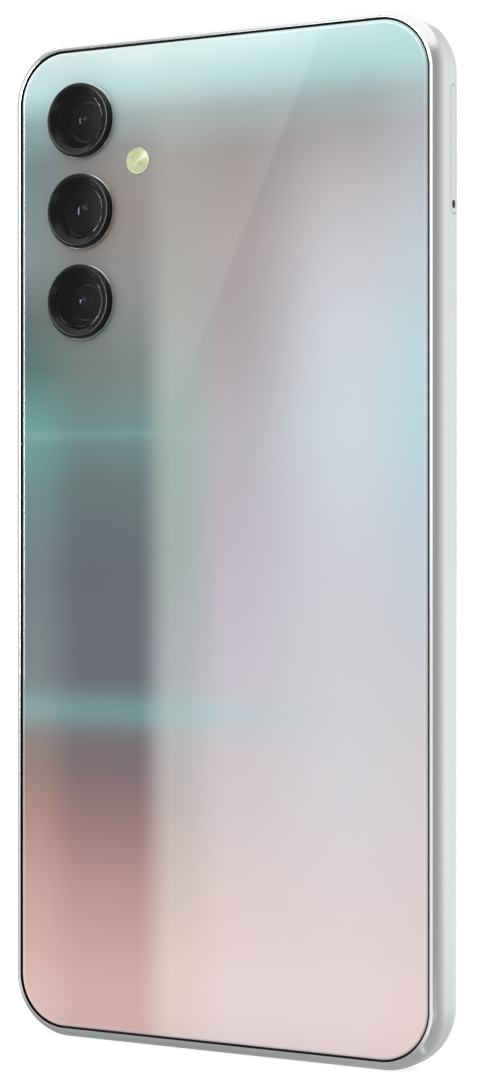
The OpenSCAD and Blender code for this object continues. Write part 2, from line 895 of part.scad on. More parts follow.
// Tray with a door that follows the frame's outside, and two card pockets
module card_tray() {
    y0 = tray_y - tray_t / 2;
    y1 = tray_y + tray_t / 2;
    x_door = -half_w + 1;
    color("#c6c9ca")
    difference() {
        union() {
            intersection() {
                x_slot(door_len, door_w, [-half_w - 1, x_door], [door_y, door_z + door_len / 2]);
                mirror([1, 0, 0])
                    translate([0, 0, door_z - 1])
                        linear_extrude(door_len + 2)
                            polygon(concat(
                                [for (p = outside) [half_w - p[0], p[1]]],
                                [[half_w - 2, half_t - lip_h], [half_w - 2, front_y]]));
            }
            block([x_door - 0.1, tray_end_x], [y0, y1], tray_z);
        }
        x_rod(pin_d / 2, [-half_w - 1, 0], [pin_y, pin_z]);
        for (pocket = [[x_door + 0.9, 8.9, 12.4], [x_door + 11.1, 11.1, 13.4]]) {
            z_mid = (tray_z[0] + tray_z[1]) / 2;
            block([pocket[0], pocket[0] + pocket[1]], [y0 - 1, y0 + 0.75],
                [z_mid - pocket[2] / 2, z_mid + pocket[2] / 2]);
            block([pocket[0] + 0.7, pocket[0] + pocket[1] - 0.7], [y0 - 1, y1 + 1],
                [z_mid - pocket[2] / 2 + 0.7, z_mid + pocket[2] / 2 - 0.7]);
        }
    }
}

// Sheet-metal cage soldered to the main board, open towards the frame
module card_reader() {
    x0 = -half_w + wall_in + 0.3;
    x1 = tray_end_x - 0.2;
    sheet = 0.15;
    color("#bcbfc1")
    union() {
        difference() {
            block([x0, x1], [tray_y - 0.8, y_board[0]], [tray_z[0] - 0.35, tray_z[1] + 0.35]);
            block([x0 - 1, x1 + 1], [tray_y - 0.8 + sheet, tray_y + 0.75],
                [tray_z[0] - 0.35 + sheet, tray_z[1] + 0.35 - sheet]);
        }
        block([x1 - 1, lever_pivot[0] + 1.2], [y_board[0] - sheet, y_board[0]],
            [lever_pivot[1] - 1.2, lever_pivot[1] + 1.2]);
        y_rod(pivot_r, [pin_y - lever_t / 2 - 0.1, y_board[0]], lever_pivot);
    }
}

module eject_rod() {
    reach = lever_half_w / cos(lever_tilt) + (lever_arm + rod_r) * tan(lever_tilt) + 0.05;
    color("#a9acae")
    x_rod(rod_r, [-half_w + 1.5, lever_pivot[0] - reach], [pin_y, pin_z]);
}

module eject_lever() {
    color("#a9acae")
    translate([lever_pivot[0], pin_y, lever_pivot[1]])
        rotate([0, lever_tilt, 0])
            difference() {
                union() {
                    block([-lever_half_w, lever_half_w], [-lever_t / 2, lever_t / 2],
                        [-lever_arm - 0.6, lever_arm + 0.6]);
                    y_rod(0.9, [-lever_t / 2, lever_t / 2], [0, 0]);
                }
                y_rod(pivot_r + 0.05, [-lever_t, lever_t], [0, 0]);
            }
}

// ---------- assembly ----------

side_frame();
mid_plate();
display_glass();
display_panel();
display_adhesive();
display_flex();
back_panel();
back_adhesive();
for (i = [0:2]) {
    camera_ring(i);
    camera_window(i);
    camera_module(i);
    lens_barrel(i);
}
camera_bracket();
flash_lens();
flash_led();
main_board();
board_shields();
board_chips();
sub_board();
port_shell();
port_tongue();
headphone_jack();
jack_contacts();
loudspeaker();
speaker_mesh();
vibration_case();
vibration_rotor();
bottom_microphone();
top_microphone();
battery();
battery_lead();
battery_adhesive();
main_flex();
antenna_cable();
upper_cover();
lower_cover();
cover_screws();
nfc_antenna();
power_key();
fingerprint_sensor();
volume_key();
key_flex();
key_switches();
key_bracket();
card_tray();
card_reader();
eject_rod();
eject_lever();
front_camera();
earpiece();
earpiece_mesh();
light_sensor();
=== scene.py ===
"""Looks of the slab smartphone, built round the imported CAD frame. Lengths are in metres.

The display faces -Y, the rear cover faces +Y, +Z is the earpiece end, and the camera column is on the +X side.
"""
import json
import math

import bmesh
import bpy
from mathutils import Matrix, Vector

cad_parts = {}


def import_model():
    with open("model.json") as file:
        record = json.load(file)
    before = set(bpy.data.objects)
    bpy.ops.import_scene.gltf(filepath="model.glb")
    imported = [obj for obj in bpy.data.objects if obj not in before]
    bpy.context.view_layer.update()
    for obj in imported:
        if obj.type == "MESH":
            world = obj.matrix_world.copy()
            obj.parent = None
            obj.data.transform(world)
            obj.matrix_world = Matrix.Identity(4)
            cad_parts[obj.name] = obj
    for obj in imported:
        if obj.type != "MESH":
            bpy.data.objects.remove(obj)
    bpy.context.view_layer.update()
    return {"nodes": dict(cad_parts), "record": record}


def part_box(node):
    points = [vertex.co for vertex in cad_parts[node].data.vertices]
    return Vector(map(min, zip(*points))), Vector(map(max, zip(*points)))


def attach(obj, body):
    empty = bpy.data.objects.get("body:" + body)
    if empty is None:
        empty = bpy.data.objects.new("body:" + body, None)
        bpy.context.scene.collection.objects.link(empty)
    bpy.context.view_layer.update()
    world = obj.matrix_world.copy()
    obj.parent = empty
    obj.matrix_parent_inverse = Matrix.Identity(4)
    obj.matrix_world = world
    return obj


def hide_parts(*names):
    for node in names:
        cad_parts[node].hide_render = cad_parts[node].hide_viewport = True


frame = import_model()
scene = bpy.context.scene
MM = 0.001

# ---------- sizes, from the frame ----------

FRAME_LOW, FRAME_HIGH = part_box("side_frame")
HALF_W = FRAME_HIGH.x
BODY_H = FRAME_HIGH.z
FRONT_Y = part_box("display_glass")[0].y
BACK_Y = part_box("back_panel")[1].y
MID_Z = BODY_H / 2
CORNER_R = 10 * MM
COVER_IN = HALF_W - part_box("back_panel")[1].x
GLASS_IN = HALF_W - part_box("display_glass")[1].x
COVER_INNER_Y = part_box("back_panel")[0].y
GLASS_INNER_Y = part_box("display_glass")[1].y
CORNER_STEPS = 28
ROUND_STEPS = 96


def middle(node):
    """Middle of a CAD node's box."""
    low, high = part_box(node)
    return (low + high) / 2


# ---------- shader helpers ----------

def linear(rgb):
    """Scene-linear colour, with alpha, from an 8-bit sRGB colour."""
    return tuple(
        (c / 255 / 12.92) if c <= 10 else (((c / 255) + 0.055) / 1.055) ** 2.4 for c in rgb
    ) + (1.0,)


class Nodes:
    """Short calls that add nodes to a node tree."""

    def __init__(self, tree):
        self.tree = tree

    def node(self, kind, settings=(), **inputs):
        made = self.tree.nodes.new(kind)
        for key, value in dict(settings).items():
            setattr(made, key, value)
        for key, value in inputs.items():
            self.feed(made.inputs[key.replace("_", " ")], value)
        return made

    def feed(self, socket, value):
        """Links an output to a socket, or sets the socket's own value."""
        if isinstance(value, bpy.types.NodeSocket):
            self.tree.links.new(value, socket)
        else:
            socket.default_value = value

    def math(self, operation, *values):
        made = self.node("ShaderNodeMath", {"operation": operation})
        for socket, value in zip(made.inputs, values):
            self.feed(socket, value)
        return made.outputs[0]

    def length(self, a, b):
        """Length of the flat vector (a, b)."""
        return self.math("SQRT", self.math("ADD", self.math("MULTIPLY", a, a), self.math("MULTIPLY", b, b)))

    def position(self, output="Object"):
        """The point's place in the shared frame as X, Y and Z; "Generated" gives the world's direction."""
        place = self.node("ShaderNodeTexCoord").outputs[output]
        return self.node("ShaderNodeSeparateXYZ", Vector=place).outputs

    def noise(self, scale, detail=3.0, stretch=(1, 1, 1)):
        """Noise of about 1/scale metres, stretched along the axes."""
        place = self.node("ShaderNodeTexCoord").outputs["Object"]
        mapped = self.node("ShaderNodeMapping", Vector=place, Scale=stretch).outputs[0]
        return self.node(
            "ShaderNodeTexNoise", Vector=mapped, Scale=scale, Detail=detail, Roughness=0.5
        ).outputs["Fac"]

    def ramp(self, factor, stops):
        """Colour that goes through the stops, each a place from 0 to 1 and its colour."""
        made = self.node("ShaderNodeValToRGB", Fac=factor)
        elements = made.color_ramp.elements
        while len(elements) < len(stops):
            elements.new(0.5)
        for element, (place, colour) in zip(elements, stops):
            element.position = place
            element.color = colour
        return made.outputs["Color"]

    def fade(self, value, low, high):
        """0 below low, 1 above high, smooth between them."""
        return self.node(
            "ShaderNodeMapRange", {"interpolation_type": "SMOOTHSTEP"},
            Value=value, From_Min=low, From_Max=high, To_Min=0.0, To_Max=1.0
        ).outputs[0]

    def mix(self, factor, a, b):
        """Colour a at factor 0, colour b at factor 1."""
        made = self.node("ShaderNodeMix", {"data_type": "RGBA"})
        for socket, value in zip((made.inputs[0], made.inputs[6], made.inputs[7]), (factor, a, b)):
            self.feed(socket, value)
        return made.outputs[2]


class Shader(Nodes):
    """A material with one Principled shader."""

    def __init__(self, name, **sockets):
        self.material = bpy.data.materials.new(name)
        self.material.use_nodes = True
        super().__init__(self.material.node_tree)
        self.principled = self.tree.nodes["Principled BSDF"]
        for socket, value in sockets.items():
            self.principled.inputs[socket.replace("_", " ")].default_value = value

    def vary(self, socket, noise, low, high):
        """Drives a number socket between low and high with a noise."""
        mapped = self.node("ShaderNodeMapRange", Value=noise, To_Min=low, To_Max=high)
        self.feed(self.principled.inputs[socket], mapped.outputs[0])

    def tint(self, noise, dark, light):
        """Drives the base colour between two colours with a noise."""
        self.feed(self.principled.inputs["Base Color"], self.ramp(noise, [(0.3, dark), (0.7, light)]))

    def bump(self, height, depth, strength=1.0):
        made = self.node("ShaderNodeBump", Height=height, Distance=depth, Strength=strength)
        self.feed(self.principled.inputs["Normal"], made.outputs[0])


def surface(name, dark, light, roughness, grain, depth, stretch=(1, 1, 1), **sockets):
    """A material whose colour, roughness and height follow one fine noise."""
    made = Shader(name, **sockets)
    speckle = made.noise(grain, stretch=stretch)
    made.tint(speckle, linear(dark), linear(light))
    made.vary("Roughness", speckle, roughness[0], roughness[1])
    made.bump(speckle, depth)
    return made.material


# ---------- materials ----------

def polished_lip():
    """Cut and polished lip of the frame."""
    made = Shader("polished_lip", Metallic=1.0)
    marks = made.noise(2500, detail=1)
    made.tint(marks, linear((236, 238, 240)), linear((244, 245, 246)))
    made.vary("Roughness", marks, 0.1, 0.15)
    return made.material


def frame_paint():
    """Satin silver paint: fine metal flake in a smooth clear binder."""
    made = Shader("frame_paint", Metallic=0.92, IOR=1.5, Coat_Weight=0.1, Coat_Roughness=0.2)
    flake = made.noise(9000, detail=2)
    cloud = made.noise(120, detail=2)
    made.tint(flake, linear((222, 225, 227)), linear((236, 238, 240)))
    made.vary("Roughness", cloud, 0.2, 0.26)
    made.bump(flake, 0.001 * MM, 0.4)
    return made.material


# Pearl film: zones side by side, each with heights in mm and the colour there; each colour is the film's pearl
# tint with painted reflection of the studio in it
PEARL_TINT_AND_REFLECTION_ZONES = {
    "camera_edge": [
        (4, (225, 193, 188)), (14, (217, 178, 170)), (24, (205, 165, 158)), (34, (185, 143, 136)),
        (44, (154, 128, 124)), (56, (127, 136, 139)), (76, (120, 132, 137)), (89, (113, 146, 146)),
        (99, (114, 168, 166)), (109, (90, 124, 119)), (117, (103, 117, 115)), (127, (139, 151, 152)),
        (142, (125, 142, 144)), (149, (148, 178, 177)), (154, (202, 236, 235)), (159, (222, 242, 240)),
    ],
    "camera_side": [
        (4, (218, 178, 175)), (14, (206, 166, 162)), (24, (188, 149, 146)), (34, (159, 123, 123)),
        (44, (124, 106, 110)), (56, (102, 104, 113)), (76, (100, 106, 114)), (90, (104, 122, 123)),
        (99, (109, 145, 143)), (109, (119, 131, 127)), (124, (140, 141, 140)), (134, (148, 136, 131)),
        (144, (142, 142, 141)), (149, (158, 173, 173)), (154, (190, 225, 225)), (159, (223, 246, 245)),
    ],
    "seam": [
        (4, (232, 209, 203)), (14, (228, 207, 198)), (26, (214, 195, 190)), (38, (199, 187, 185)),
        (56, (183, 186, 189)), (80, (171, 181, 180)), (98, (168, 188, 183)), (112, (176, 182, 177)),
        (126, (170, 167, 163)), (142, (160, 156, 151)), (149, (166, 180, 177)), (154, (191, 225, 223)),
        (159, (217, 244, 240)),
    ],
    "middle": [
        (4, (237, 216, 218)), (24, (230, 209, 209)), (40, (216, 205, 209)), (62, (205, 199, 210)),
        (80, (200, 192, 204)), (98, (193, 188, 195)), (114, (180, 172, 176)), (128, (176, 165, 165)),
        (142, (154, 146, 144)), (149, (163, 175, 177)), (154, (188, 224, 225)), (159, (217, 247, 245)),
    ],
    "quarter": [
        (4, (237, 216, 218)), (20, (232, 213, 215)), (40, (220, 216, 221)), (64, (216, 214, 219)),
        (80, (214, 216, 227)), (98, (216, 226, 234)), (114, (218, 222, 230)), (126, (211, 209, 216)),
        (136, (198, 193, 196)), (144, (177, 173, 176)), (149, (170, 184, 184)), (154, (184, 224, 224)),
        (159, (212, 244, 245)),
    ],
    "tray_side": [
        (4, (236, 210, 210)), (24, (229, 211, 213)), (40, (220, 213, 217)), (56, (215, 213, 217)),
        (72, (208, 213, 222)), (86, (201, 218, 229)), (98, (194, 226, 236)), (110, (200, 226, 235)),
        (124, (205, 216, 222)), (134, (198, 204, 210)), (144, (189, 190, 196)), (149, (184, 201, 200)),
        (154, (190, 230, 229)), (159, (199, 241, 240)),
    ],
}
# Where one zone gives way to the next, in mm from the camera-side edge of the body
FILM_SEAMS = [(4, 14), (24, 31), (31, 42), (42, 62), (64, 75)]
# Painted reflection streaks across the film: height, half width, where the tail fades (mm from the camera-side
# edge), colour, strength
PAINTED_REFLECTION_STREAKS = [
    (53.5, 3.2, (30, 72), (140, 225, 218), 0.28),
    (98, 0.9, (18, 50), (170, 210, 203), 0.16),
]
# Share of white painted into the film along the cover's rounded edge, a painted highlight
EDGE_HIGHLIGHT_PAINT = 0.2


def pearl_film(edge_highlight=0.0):
    """Rear cover: a pearlescent film of soft colour zones and streaks under a clear gloss coat; the zones are
    pearl tint with painted reflection, the streaks are painted reflection.
    """
    made = Shader(
        "pearl_film", IOR=1.45, Specular_IOR_Level=0.0, Coat_Weight=1.0, Coat_Roughness=0.02, Coat_IOR=1.5,
        Roughness=0.5
    )
    x, _, z = made.position()
    across = made.math("SUBTRACT", HALF_W, x)
    up = made.math("DIVIDE", z, BODY_H)
    shades = [
        made.ramp(up, [(height * MM / BODY_H, linear(colour)) for height, colour in stops])
        for stops in PEARL_TINT_AND_REFLECTION_ZONES.values()
    ]
    colour = shades[0]
    for shade, (start, end) in zip(shades[1:], FILM_SEAMS):
        colour = made.mix(made.fade(across, start * MM, end * MM), colour, shade)
    # Painted reflection: streaks of colour laid across the film, fading away from the camera side
    for height, half_width, reach, shade, strength in PAINTED_REFLECTION_STREAKS:
        offset = made.math("DIVIDE", made.math("SUBTRACT", z, height * MM), half_width * MM)
        ridge = made.math("POWER", math.e, made.math("MULTIPLY", made.math("MULTIPLY", offset, offset), -1.0))
        tail = made.math("SUBTRACT", 1.0, made.fade(across, reach[0] * MM, reach[1] * MM))
        amount = made.math("MULTIPLY", made.math("MULTIPLY", ridge, tail), strength)
        colour = made.mix(amount, colour, linear(shade))
    sparkle = made.noise(14000, detail=1)
    colour = made.mix(made.math("MULTIPLY", sparkle, 0.03), colour, linear((255, 255, 255)))
    # Painted highlight: the film whitened for the cover's rounded edge
    if edge_highlight:
        colour = made.mix(edge_highlight, colour, linear((255, 255, 255)))
    made.feed(made.principled.inputs["Base Color"], colour)
    made.bump(made.noise(60, detail=1), 0.004 * MM, 0.4)
    return made.material


def groove_shade():
    """Painted shade: near-black colour on the frame's faces inside the groove between lip and cover."""
    return surface("groove_shade", (9, 9, 10), (18, 18, 19), (0.5, 0.7), 6000, 0.01 * MM)


def cover_cut_wall_shade():
    """Cut wall of the rear cover, below its rounded edge, in a darker grey that is painted shade in the groove."""
    return surface("cover_cut_wall_shade", (112, 107, 109), (132, 127, 130), (0.4, 0.55), 4000, 0.002 * MM)


def ring_black():
    """Black anodised ring with fine turning marks on its sloping band."""
    made = Shader("ring_black", IOR=1.5, Specular_IOR_Level=0.3)
    turned = made.noise(2500, detail=2, stretch=(0.05, 8, 0.05))
    made.tint(turned, linear((8, 8, 9)), linear((13, 13, 14)))
    made.vary("Roughness", turned, 0.12, 0.18)
    made.bump(turned, 0.0006 * MM)
    return made.material


def ring_edge():
    """Polished edge of a ring, bare metal catching the light."""
    return surface("ring_edge", (58, 59, 61), (74, 75, 77), (0.2, 0.3), 3000, 0.0005 * MM, Metallic=1.0)


def window_glass():
    """Coated camera window: clear, faintly tinted and hardly reflecting."""
    made = Shader(
        "camera_window", IOR=1.45, Specular_IOR_Level=0.1, Transmission_Weight=1.0, Roughness=0.0
    )
    cloud = made.noise(300, detail=1)
    made.tint(cloud, linear((150, 152, 158)), linear((160, 162, 168)))
    return made.material


def lens_glass():
    """Front lens with a coating that reflects violet and green; that coloured reflection is painted into the base
    colour by facing angle.
    """
    made = Shader(
        "lens_glass", IOR=1.6, Roughness=0.02, Specular_IOR_Level=0.7, Coat_Weight=1.0,
        Coat_Roughness=0.0, Coat_Tint=(0.8, 0.78, 0.95, 1)
    )
    rim = made.node("ShaderNodeLayerWeight", Blend=0.35).outputs["Facing"]
    made.feed(
        made.principled.inputs["Base Color"],
        made.ramp(rim, [(0.0, linear((14, 15, 24))), (0.5, linear((26, 22, 44))), (1.0, linear((20, 40, 40)))]),
    )
    return made.material


def flash_plastic():
    """Pale yellow-green moulded lens over the phosphor."""
    made = Shader("flash_lens", IOR=1.49, Coat_Weight=0.8, Coat_Roughness=0.05)
    cloud = made.noise(1200, detail=2)
    made.tint(cloud, linear((206, 212, 165)), linear((226, 231, 190)))
    made.vary("Roughness", cloud, 0.14, 0.24)
    return made.material


def display_black(clear_at, clear_r, lit_low, lit_high, lit_r):
    """Display glass when off: printed border, darker than the lit area, and a clear spot for the camera."""
    made = Shader("display_black", IOR=1.5, Roughness=0.03, Coat_Weight=0.6, Coat_Roughness=0.01)
    x, _, z = made.position()
    half = (lit_high - lit_low) / 2
    centre = (lit_high + lit_low) / 2
    dx = made.math("MAXIMUM", made.math("SUBTRACT", made.math("ABSOLUTE", x), half.x - lit_r), 0.0)
    dz = made.math("ABSOLUTE", made.math("SUBTRACT", z, centre.z))
    dz = made.math("MAXIMUM", made.math("SUBTRACT", dz, half.z - lit_r), 0.0)
    reach = made.length(dx, dz)
    lit = made.math("LESS_THAN", reach, lit_r)
    cx = made.math("SUBTRACT", x, clear_at.x)
    cz = made.math("SUBTRACT", z, clear_at.z)
    away = made.length(cx, cz)
    notch = made.math("GREATER_THAN", away, 2.9 * MM)
    lit = made.math("MULTIPLY", lit, notch)
    made.feed(
        made.principled.inputs["Base Color"], made.mix(lit, linear((6, 6, 7)), linear((17, 18, 21)))
    )
    made.feed(made.principled.inputs["Transmission Weight"], made.math("LESS_THAN", away, clear_r))
    smear = made.noise(90, detail=4, stretch=(1, 1, 0.5))
    made.vary("Roughness", smear, 0.02, 0.07)
    return made.material


def key_paint():
    """Paint of the keys and the tray, a little less metallic than the frame's."""
    made = Shader("key_paint", Metallic=0.8, IOR=1.5, Coat_Weight=0.15, Coat_Roughness=0.3)
    flake = made.noise(9000, detail=2)
    made.tint(flake, linear((220, 223, 225)), linear((235, 237, 239)))
    made.vary("Roughness", flake, 0.2, 0.26)
    made.bump(flake, 0.001 * MM, 0.4)
    return made.material


def woven(name, dark, light, pitch):
    """Fine woven mesh: two crossed sets of wires."""
    made = Shader(name, Metallic=0.7)
    x, y, z = made.position()
    across = made.math("SINE", made.math("MULTIPLY", x, 2 * math.pi / pitch))
    upward = made.math("SINE", made.math("MULTIPLY", made.math("ADD", y, z), 2 * math.pi / pitch))
    weave = made.math("MULTIPLY", made.math("ADD", across, upward), 0.5)
    made.tint(weave, linear(dark), linear(light))
    made.vary("Roughness", weave, 0.35, 0.6)
    made.bump(weave, 0.02 * MM)
    return made.material


def circuit_board():
    """Solder mask with buried tracks and small pads."""
    made = Shader("circuit_board", IOR=1.5, Coat_Weight=0.4, Coat_Roughness=0.2)
    place = made.node("ShaderNodeTexCoord").outputs["Object"]
    cells = made.node(
        "ShaderNodeTexVoronoi", {"distance": "CHEBYCHEV", "feature": "F1"}, Vector=place, Scale=900.0
    ).outputs["Distance"]
    tracks = made.noise(700, detail=0, stretch=(1, 1, 6))
    colour = made.ramp(tracks, [(0.46, linear((22, 66, 46))), (0.5, linear((38, 96, 66)))])
    pad = made.math("LESS_THAN", cells, 0.16)
    colour = made.mix(pad, colour, linear((196, 170, 104)))
    made.feed(made.principled.inputs["Base Color"], colour)
    made.feed(made.principled.inputs["Metallic"], made.math("MULTIPLY", pad, 0.9))
    made.vary("Roughness", tracks, 0.25, 0.4)
    made.bump(tracks, 0.01 * MM)
    return made.material


def flex_film():
    """Amber polyimide film with copper tracks under it."""
    made = Shader("flex_film", IOR=1.6, Coat_Weight=0.5, Coat_Roughness=0.15)
    tracks = made.noise(1500, detail=0, stretch=(1, 1, 0.05))
    made.tint(tracks, linear((120, 66, 20)), linear((196, 128, 52)))
    made.vary("Roughness", tracks, 0.2, 0.35)
    made.bump(tracks, 0.006 * MM)
    return made.material


def slot_materials():
    """One material for each of the record's slots."""
    bare_metal = {"Metallic": 1.0}
    return {
        "frame": frame_paint(),
        "plate": surface(
            "cast_plate", (128, 130, 133), (150, 152, 155), (0.4, 0.55), 3000, 0.01 * MM, **bare_metal),
        "cover": pearl_film(),
        "display_stack": surface("display_back", (20, 20, 24), (32, 33, 38), (0.3, 0.4), 500, 0.002 * MM),
        "adhesive": surface("foam_tape", (20, 20, 21), (34, 34, 36), (0.75, 0.9), 6000, 0.02 * MM),
        "pull_tape": surface("pull_tape", (205, 205, 196), (228, 228, 220), (0.6, 0.75), 2500, 0.01 * MM),
        "ring": ring_black(),
        "camera_glass": window_glass(),
        "camera_body": surface("camera_body", (22, 22, 24), (34, 34, 37), (0.5, 0.65), 5000, 0.006 * MM),
        "barrel": surface("lens_barrel", (7, 7, 8), (13, 13, 14), (0.42, 0.55), 5000, 0.003 * MM),
        "flash": flash_plastic(),
        "led": surface("phosphor", (236, 208, 70), (250, 230, 120), (0.5, 0.6), 4000, 0.004 * MM),
        "pressed_steel": surface(
            "pressed_steel", (168, 170, 173), (196, 198, 200), (0.25, 0.4), 2500, 0.002 * MM,
            (1, 1, 0.1), **bare_metal),
        "board": circuit_board(),
        "chips": surface("chip_moulding", (22, 22, 23), (36, 36, 38), (0.5, 0.7), 6000, 0.006 * MM),
        "black_plastic": surface("black_plastic", (26, 27, 29), (40, 41, 44), (0.45, 0.6), 4000, 0.008 * MM),
        "mesh": woven("woven_mesh", (20, 20, 21), (70, 70, 72), 0.16 * MM),
        "contacts": surface(
            "gold_plate", (205, 168, 84), (232, 198, 116), (0.15, 0.3), 3000, 0.001 * MM, **bare_metal),
        "tungsten": surface(
            "tungsten", (104, 101, 96), (128, 125, 119), (0.35, 0.5), 5000, 0.006 * MM, **bare_metal),
        "battery": surface("battery_wrap", (36, 38, 42), (50, 52, 57), (0.35, 0.5), 800, 0.01 * MM),
        "flex": flex_film(),
        "coax": surface("coax_jacket", (214, 214, 214), (232, 232, 232), (0.3, 0.4), 2500, 0.002 * MM),
        "screws": surface(
            "dark_zinc", (70, 72, 75), (98, 100, 103), (0.25, 0.4), 4000, 0.003 * MM, **bare_metal),
        "keys": key_paint(),
        "sensor": surface("sensor_coat", (150, 154, 158), (166, 170, 174), (0.12, 0.2), 3000, 0.0005 * MM,
                          Metallic=0.5, Coat_Weight=0.8),
        "display_glass": display_black(
            middle("front_camera"), 1.45 * MM, *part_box("display_panel"), 7 * MM),
    }


MATERIALS = slot_materials()


# ---------- mesh helpers ----------

def new_object(name, bm, material, smooth_angle=35):
    """An object from a bmesh, smooth except across edges sharper than smooth_angle degrees."""
    bmesh.ops.recalc_face_normals(bm, faces=bm.faces)
    for face in bm.faces:
        face.smooth = True
    for edge in bm.edges:
        if len(edge.link_faces) == 2:
            edge.smooth = edge.calc_face_angle(0) < math.radians(smooth_angle)
    mesh = bpy.data.meshes.new(name)
    bm.to_mesh(mesh)
    bm.free()
    made = bpy.data.objects.new(name, mesh)
    scene.collection.objects.link(made)
    mesh.materials.append(material)
    return made


def arc(centre, radius, start, end, steps):
    """Points of an arc about centre, angles in degrees."""
    return [
        (centre[0] + radius * math.cos(math.radians(start + (end - start) * i / steps)),
         centre[1] + radius * math.sin(math.radians(start + (end - start) * i / steps)))
        for i in range(steps + 1)
    ]


def fillet(points, radius, steps=3):
    """The polyline with each inner corner rounded to about the given radius."""
    count = len(points)
    out = []
    for i, point in enumerate(points):
        if i in (0, count - 1):
            out.append(point)
            continue
        here = Vector(point)
        before = Vector(points[i - 1]) - here
        after = Vector(points[i + 1]) - here
        reach = min(radius, before.length * 0.45, after.length * 0.45)
        a = here + before.normalized() * reach
        b = here + after.normalized() * reach
        for k in range(steps + 1):
            t = k / steps
            out.append(tuple(a * (1 - t) ** 2 + here * 2 * t * (1 - t) + b * t ** 2))
    return out


def outline(half_a, half_b, radius, inset, steps=CORNER_STEPS):
    """Rounded rectangle, inset all round, as (a, b) points."""
    a, b, r = half_a - inset, half_b - inset, max(radius - inset, 1e-6)
    corners = [((a - r, b - r), 0), ((-a + r, b - r), 90), ((-a + r, -b + r), 180), ((a - r, -b + r), 270)]
    return [p for centre, start in corners for p in arc(centre, r, start, start + 90, steps)]


def loft(name, rings, material, closed=False):
    """Skins equal rings of points; the ends are capped unless the rings close into a loop."""
    bm = bmesh.new()
    loops = [[bm.verts.new(p) for p in ring] for ring in rings]
    pairs = list(zip(loops, loops[1:] + ([loops[0]] if closed else [])))
    for low, high in pairs:
        for i in range(len(low)):
            j = (i + 1) % len(low)
            bm.faces.new((low[i], low[j], high[j], high[i]))
    if not closed:
        bm.faces.new(loops[0])
        bm.faces.new(list(reversed(loops[-1])))
    return new_object(name, bm, material)


def body_ring(inset, y):
    """The phone's outline, inset, at depth y."""
    return [(a, y, b + MID_Z) for a, b in outline(HALF_W, BODY_H / 2, CORNER_R, inset)]


def lathe(name, profile, centre, material, steps=ROUND_STEPS, smooth_angle=35):
    """Revolves (radius, y) points about the line through centre along Y."""
    bm = bmesh.new()
    loops = []
    for radius, y in profile:
        if radius < 1e-7:
            loops.append([bm.verts.new((centre[0], y, centre[1]))])
            continue
        loops.append([
            bm.verts.new((
                centre[0] + radius * math.cos(2 * math.pi * k / steps), y,
                centre[1] + radius * math.sin(2 * math.pi * k / steps)))
            for k in range(steps)
        ])
    for low, high in zip(loops, loops[1:]):
        for k in range(steps):
            n = (k + 1) % steps
            ring = [low[k % len(low)], low[n % len(low)], high[n % len(high)], high[k % len(high)]]
            bm.faces.new(list(dict.fromkeys(ring)))
    if profile[0] == profile[-1]:
        bmesh.ops.remove_doubles(bm, verts=loops[0] + loops[-1], dist=1e-8)
    else:
        for end in (loops[0], loops[-1]):
            if len(end) > 1:
                bm.faces.new(end)
    return new_object(name, bm, material, smooth_angle)


def stadium_x(name, length, width, profile, centre, material, steps=12):
    """A bar along X with a slot-shaped section; profile lists (inset, x)."""
    rings = [
        [(x, centre[1] + a, centre[2] + b) for a, b in outline(width / 2, length / 2, width / 2, inset, steps)]
        for inset, x in profile
    ]
    return loft(name, rings, material)


def slot_z(name, length, width, z_low, z_high, centre, steps=10):
    """A cutter along Z with a slot-shaped section."""
    rings = [
        [(centre[0] + a, centre[1] + b, z) for a, b in outline(length / 2, width / 2, width / 2, 0, steps)]
        for z in (z_low, z_high)
    ]
    return loft(name, rings, MATERIALS["frame"])


def cut(target, cutters):
    """Takes the cutters out of the target's mesh and deletes them."""
    for cutter in cutters:
        modifier = target.modifiers.new("cut", "BOOLEAN")
        modifier.operation = "DIFFERENCE"
        modifier.solver = "EXACT"
        modifier.object = cutter
    bpy.context.view_layer.update()
    evaluated = target.evaluated_get(bpy.context.evaluated_depsgraph_get())
    mesh = bpy.data.meshes.new_from_object(evaluated)
    target.modifiers.clear()
    target.data = mesh
    for cutter in cutters:
        bpy.data.objects.remove(cutter)
    sharpen(target)
    return target


def sharpen(target, angle=35):
    """Marks edges sharper than angle, and weights normals towards the large faces."""
    bm = bmesh.new()
    bm.from_mesh(target.data)
    bmesh.ops.remove_doubles(bm, verts=bm.verts, dist=1e-7)
    bmesh.ops.dissolve_degenerate(bm, edges=bm.edges, dist=1e-7)
    for face in bm.faces:
        face.smooth = True
    for edge in bm.edges:
        edge.smooth = len(edge.link_faces) != 2 or edge.calc_face_angle(0) < math.radians(angle)
    bm.to_mesh(target.data)
    bm.free()
    weights = target.modifiers.new("normals", "WEIGHTED_NORMAL")
    weights.keep_sharp = True


def place(piece, body, slot, *nodes):
    """The piece rides on a body and stands for CAD nodes, which it hides; slot is not used."""
    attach(piece, body)
    if nodes:
        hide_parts(*nodes)
    return piece


# ---------- frame ----------

LIP_OUT = 1.55 * MM
LIP_W = 0.5 * MM
LIP_H = 0.15 * MM
LIP_Y = FRAME_HIGH.y
LEDGE_Y = 3.15 * MM
SHELF_IN = 3.1 * MM
SHELF_T = 0.25 * MM
WALL_IN = 2.6 * MM
PLATE_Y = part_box("mid_plate")[0].y
LEDGE_IN = 3.4 * MM
POCKET_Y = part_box("display_adhesive")[1].y
POCKET_IN = GLASS_IN - 0.1 * MM
FRONT_IN = 0.95 * MM
FLAT_Y = (-0.8 * MM, 1.6 * MM)
CURVE_POWER = 2.5
CURVE_STEPS = 12


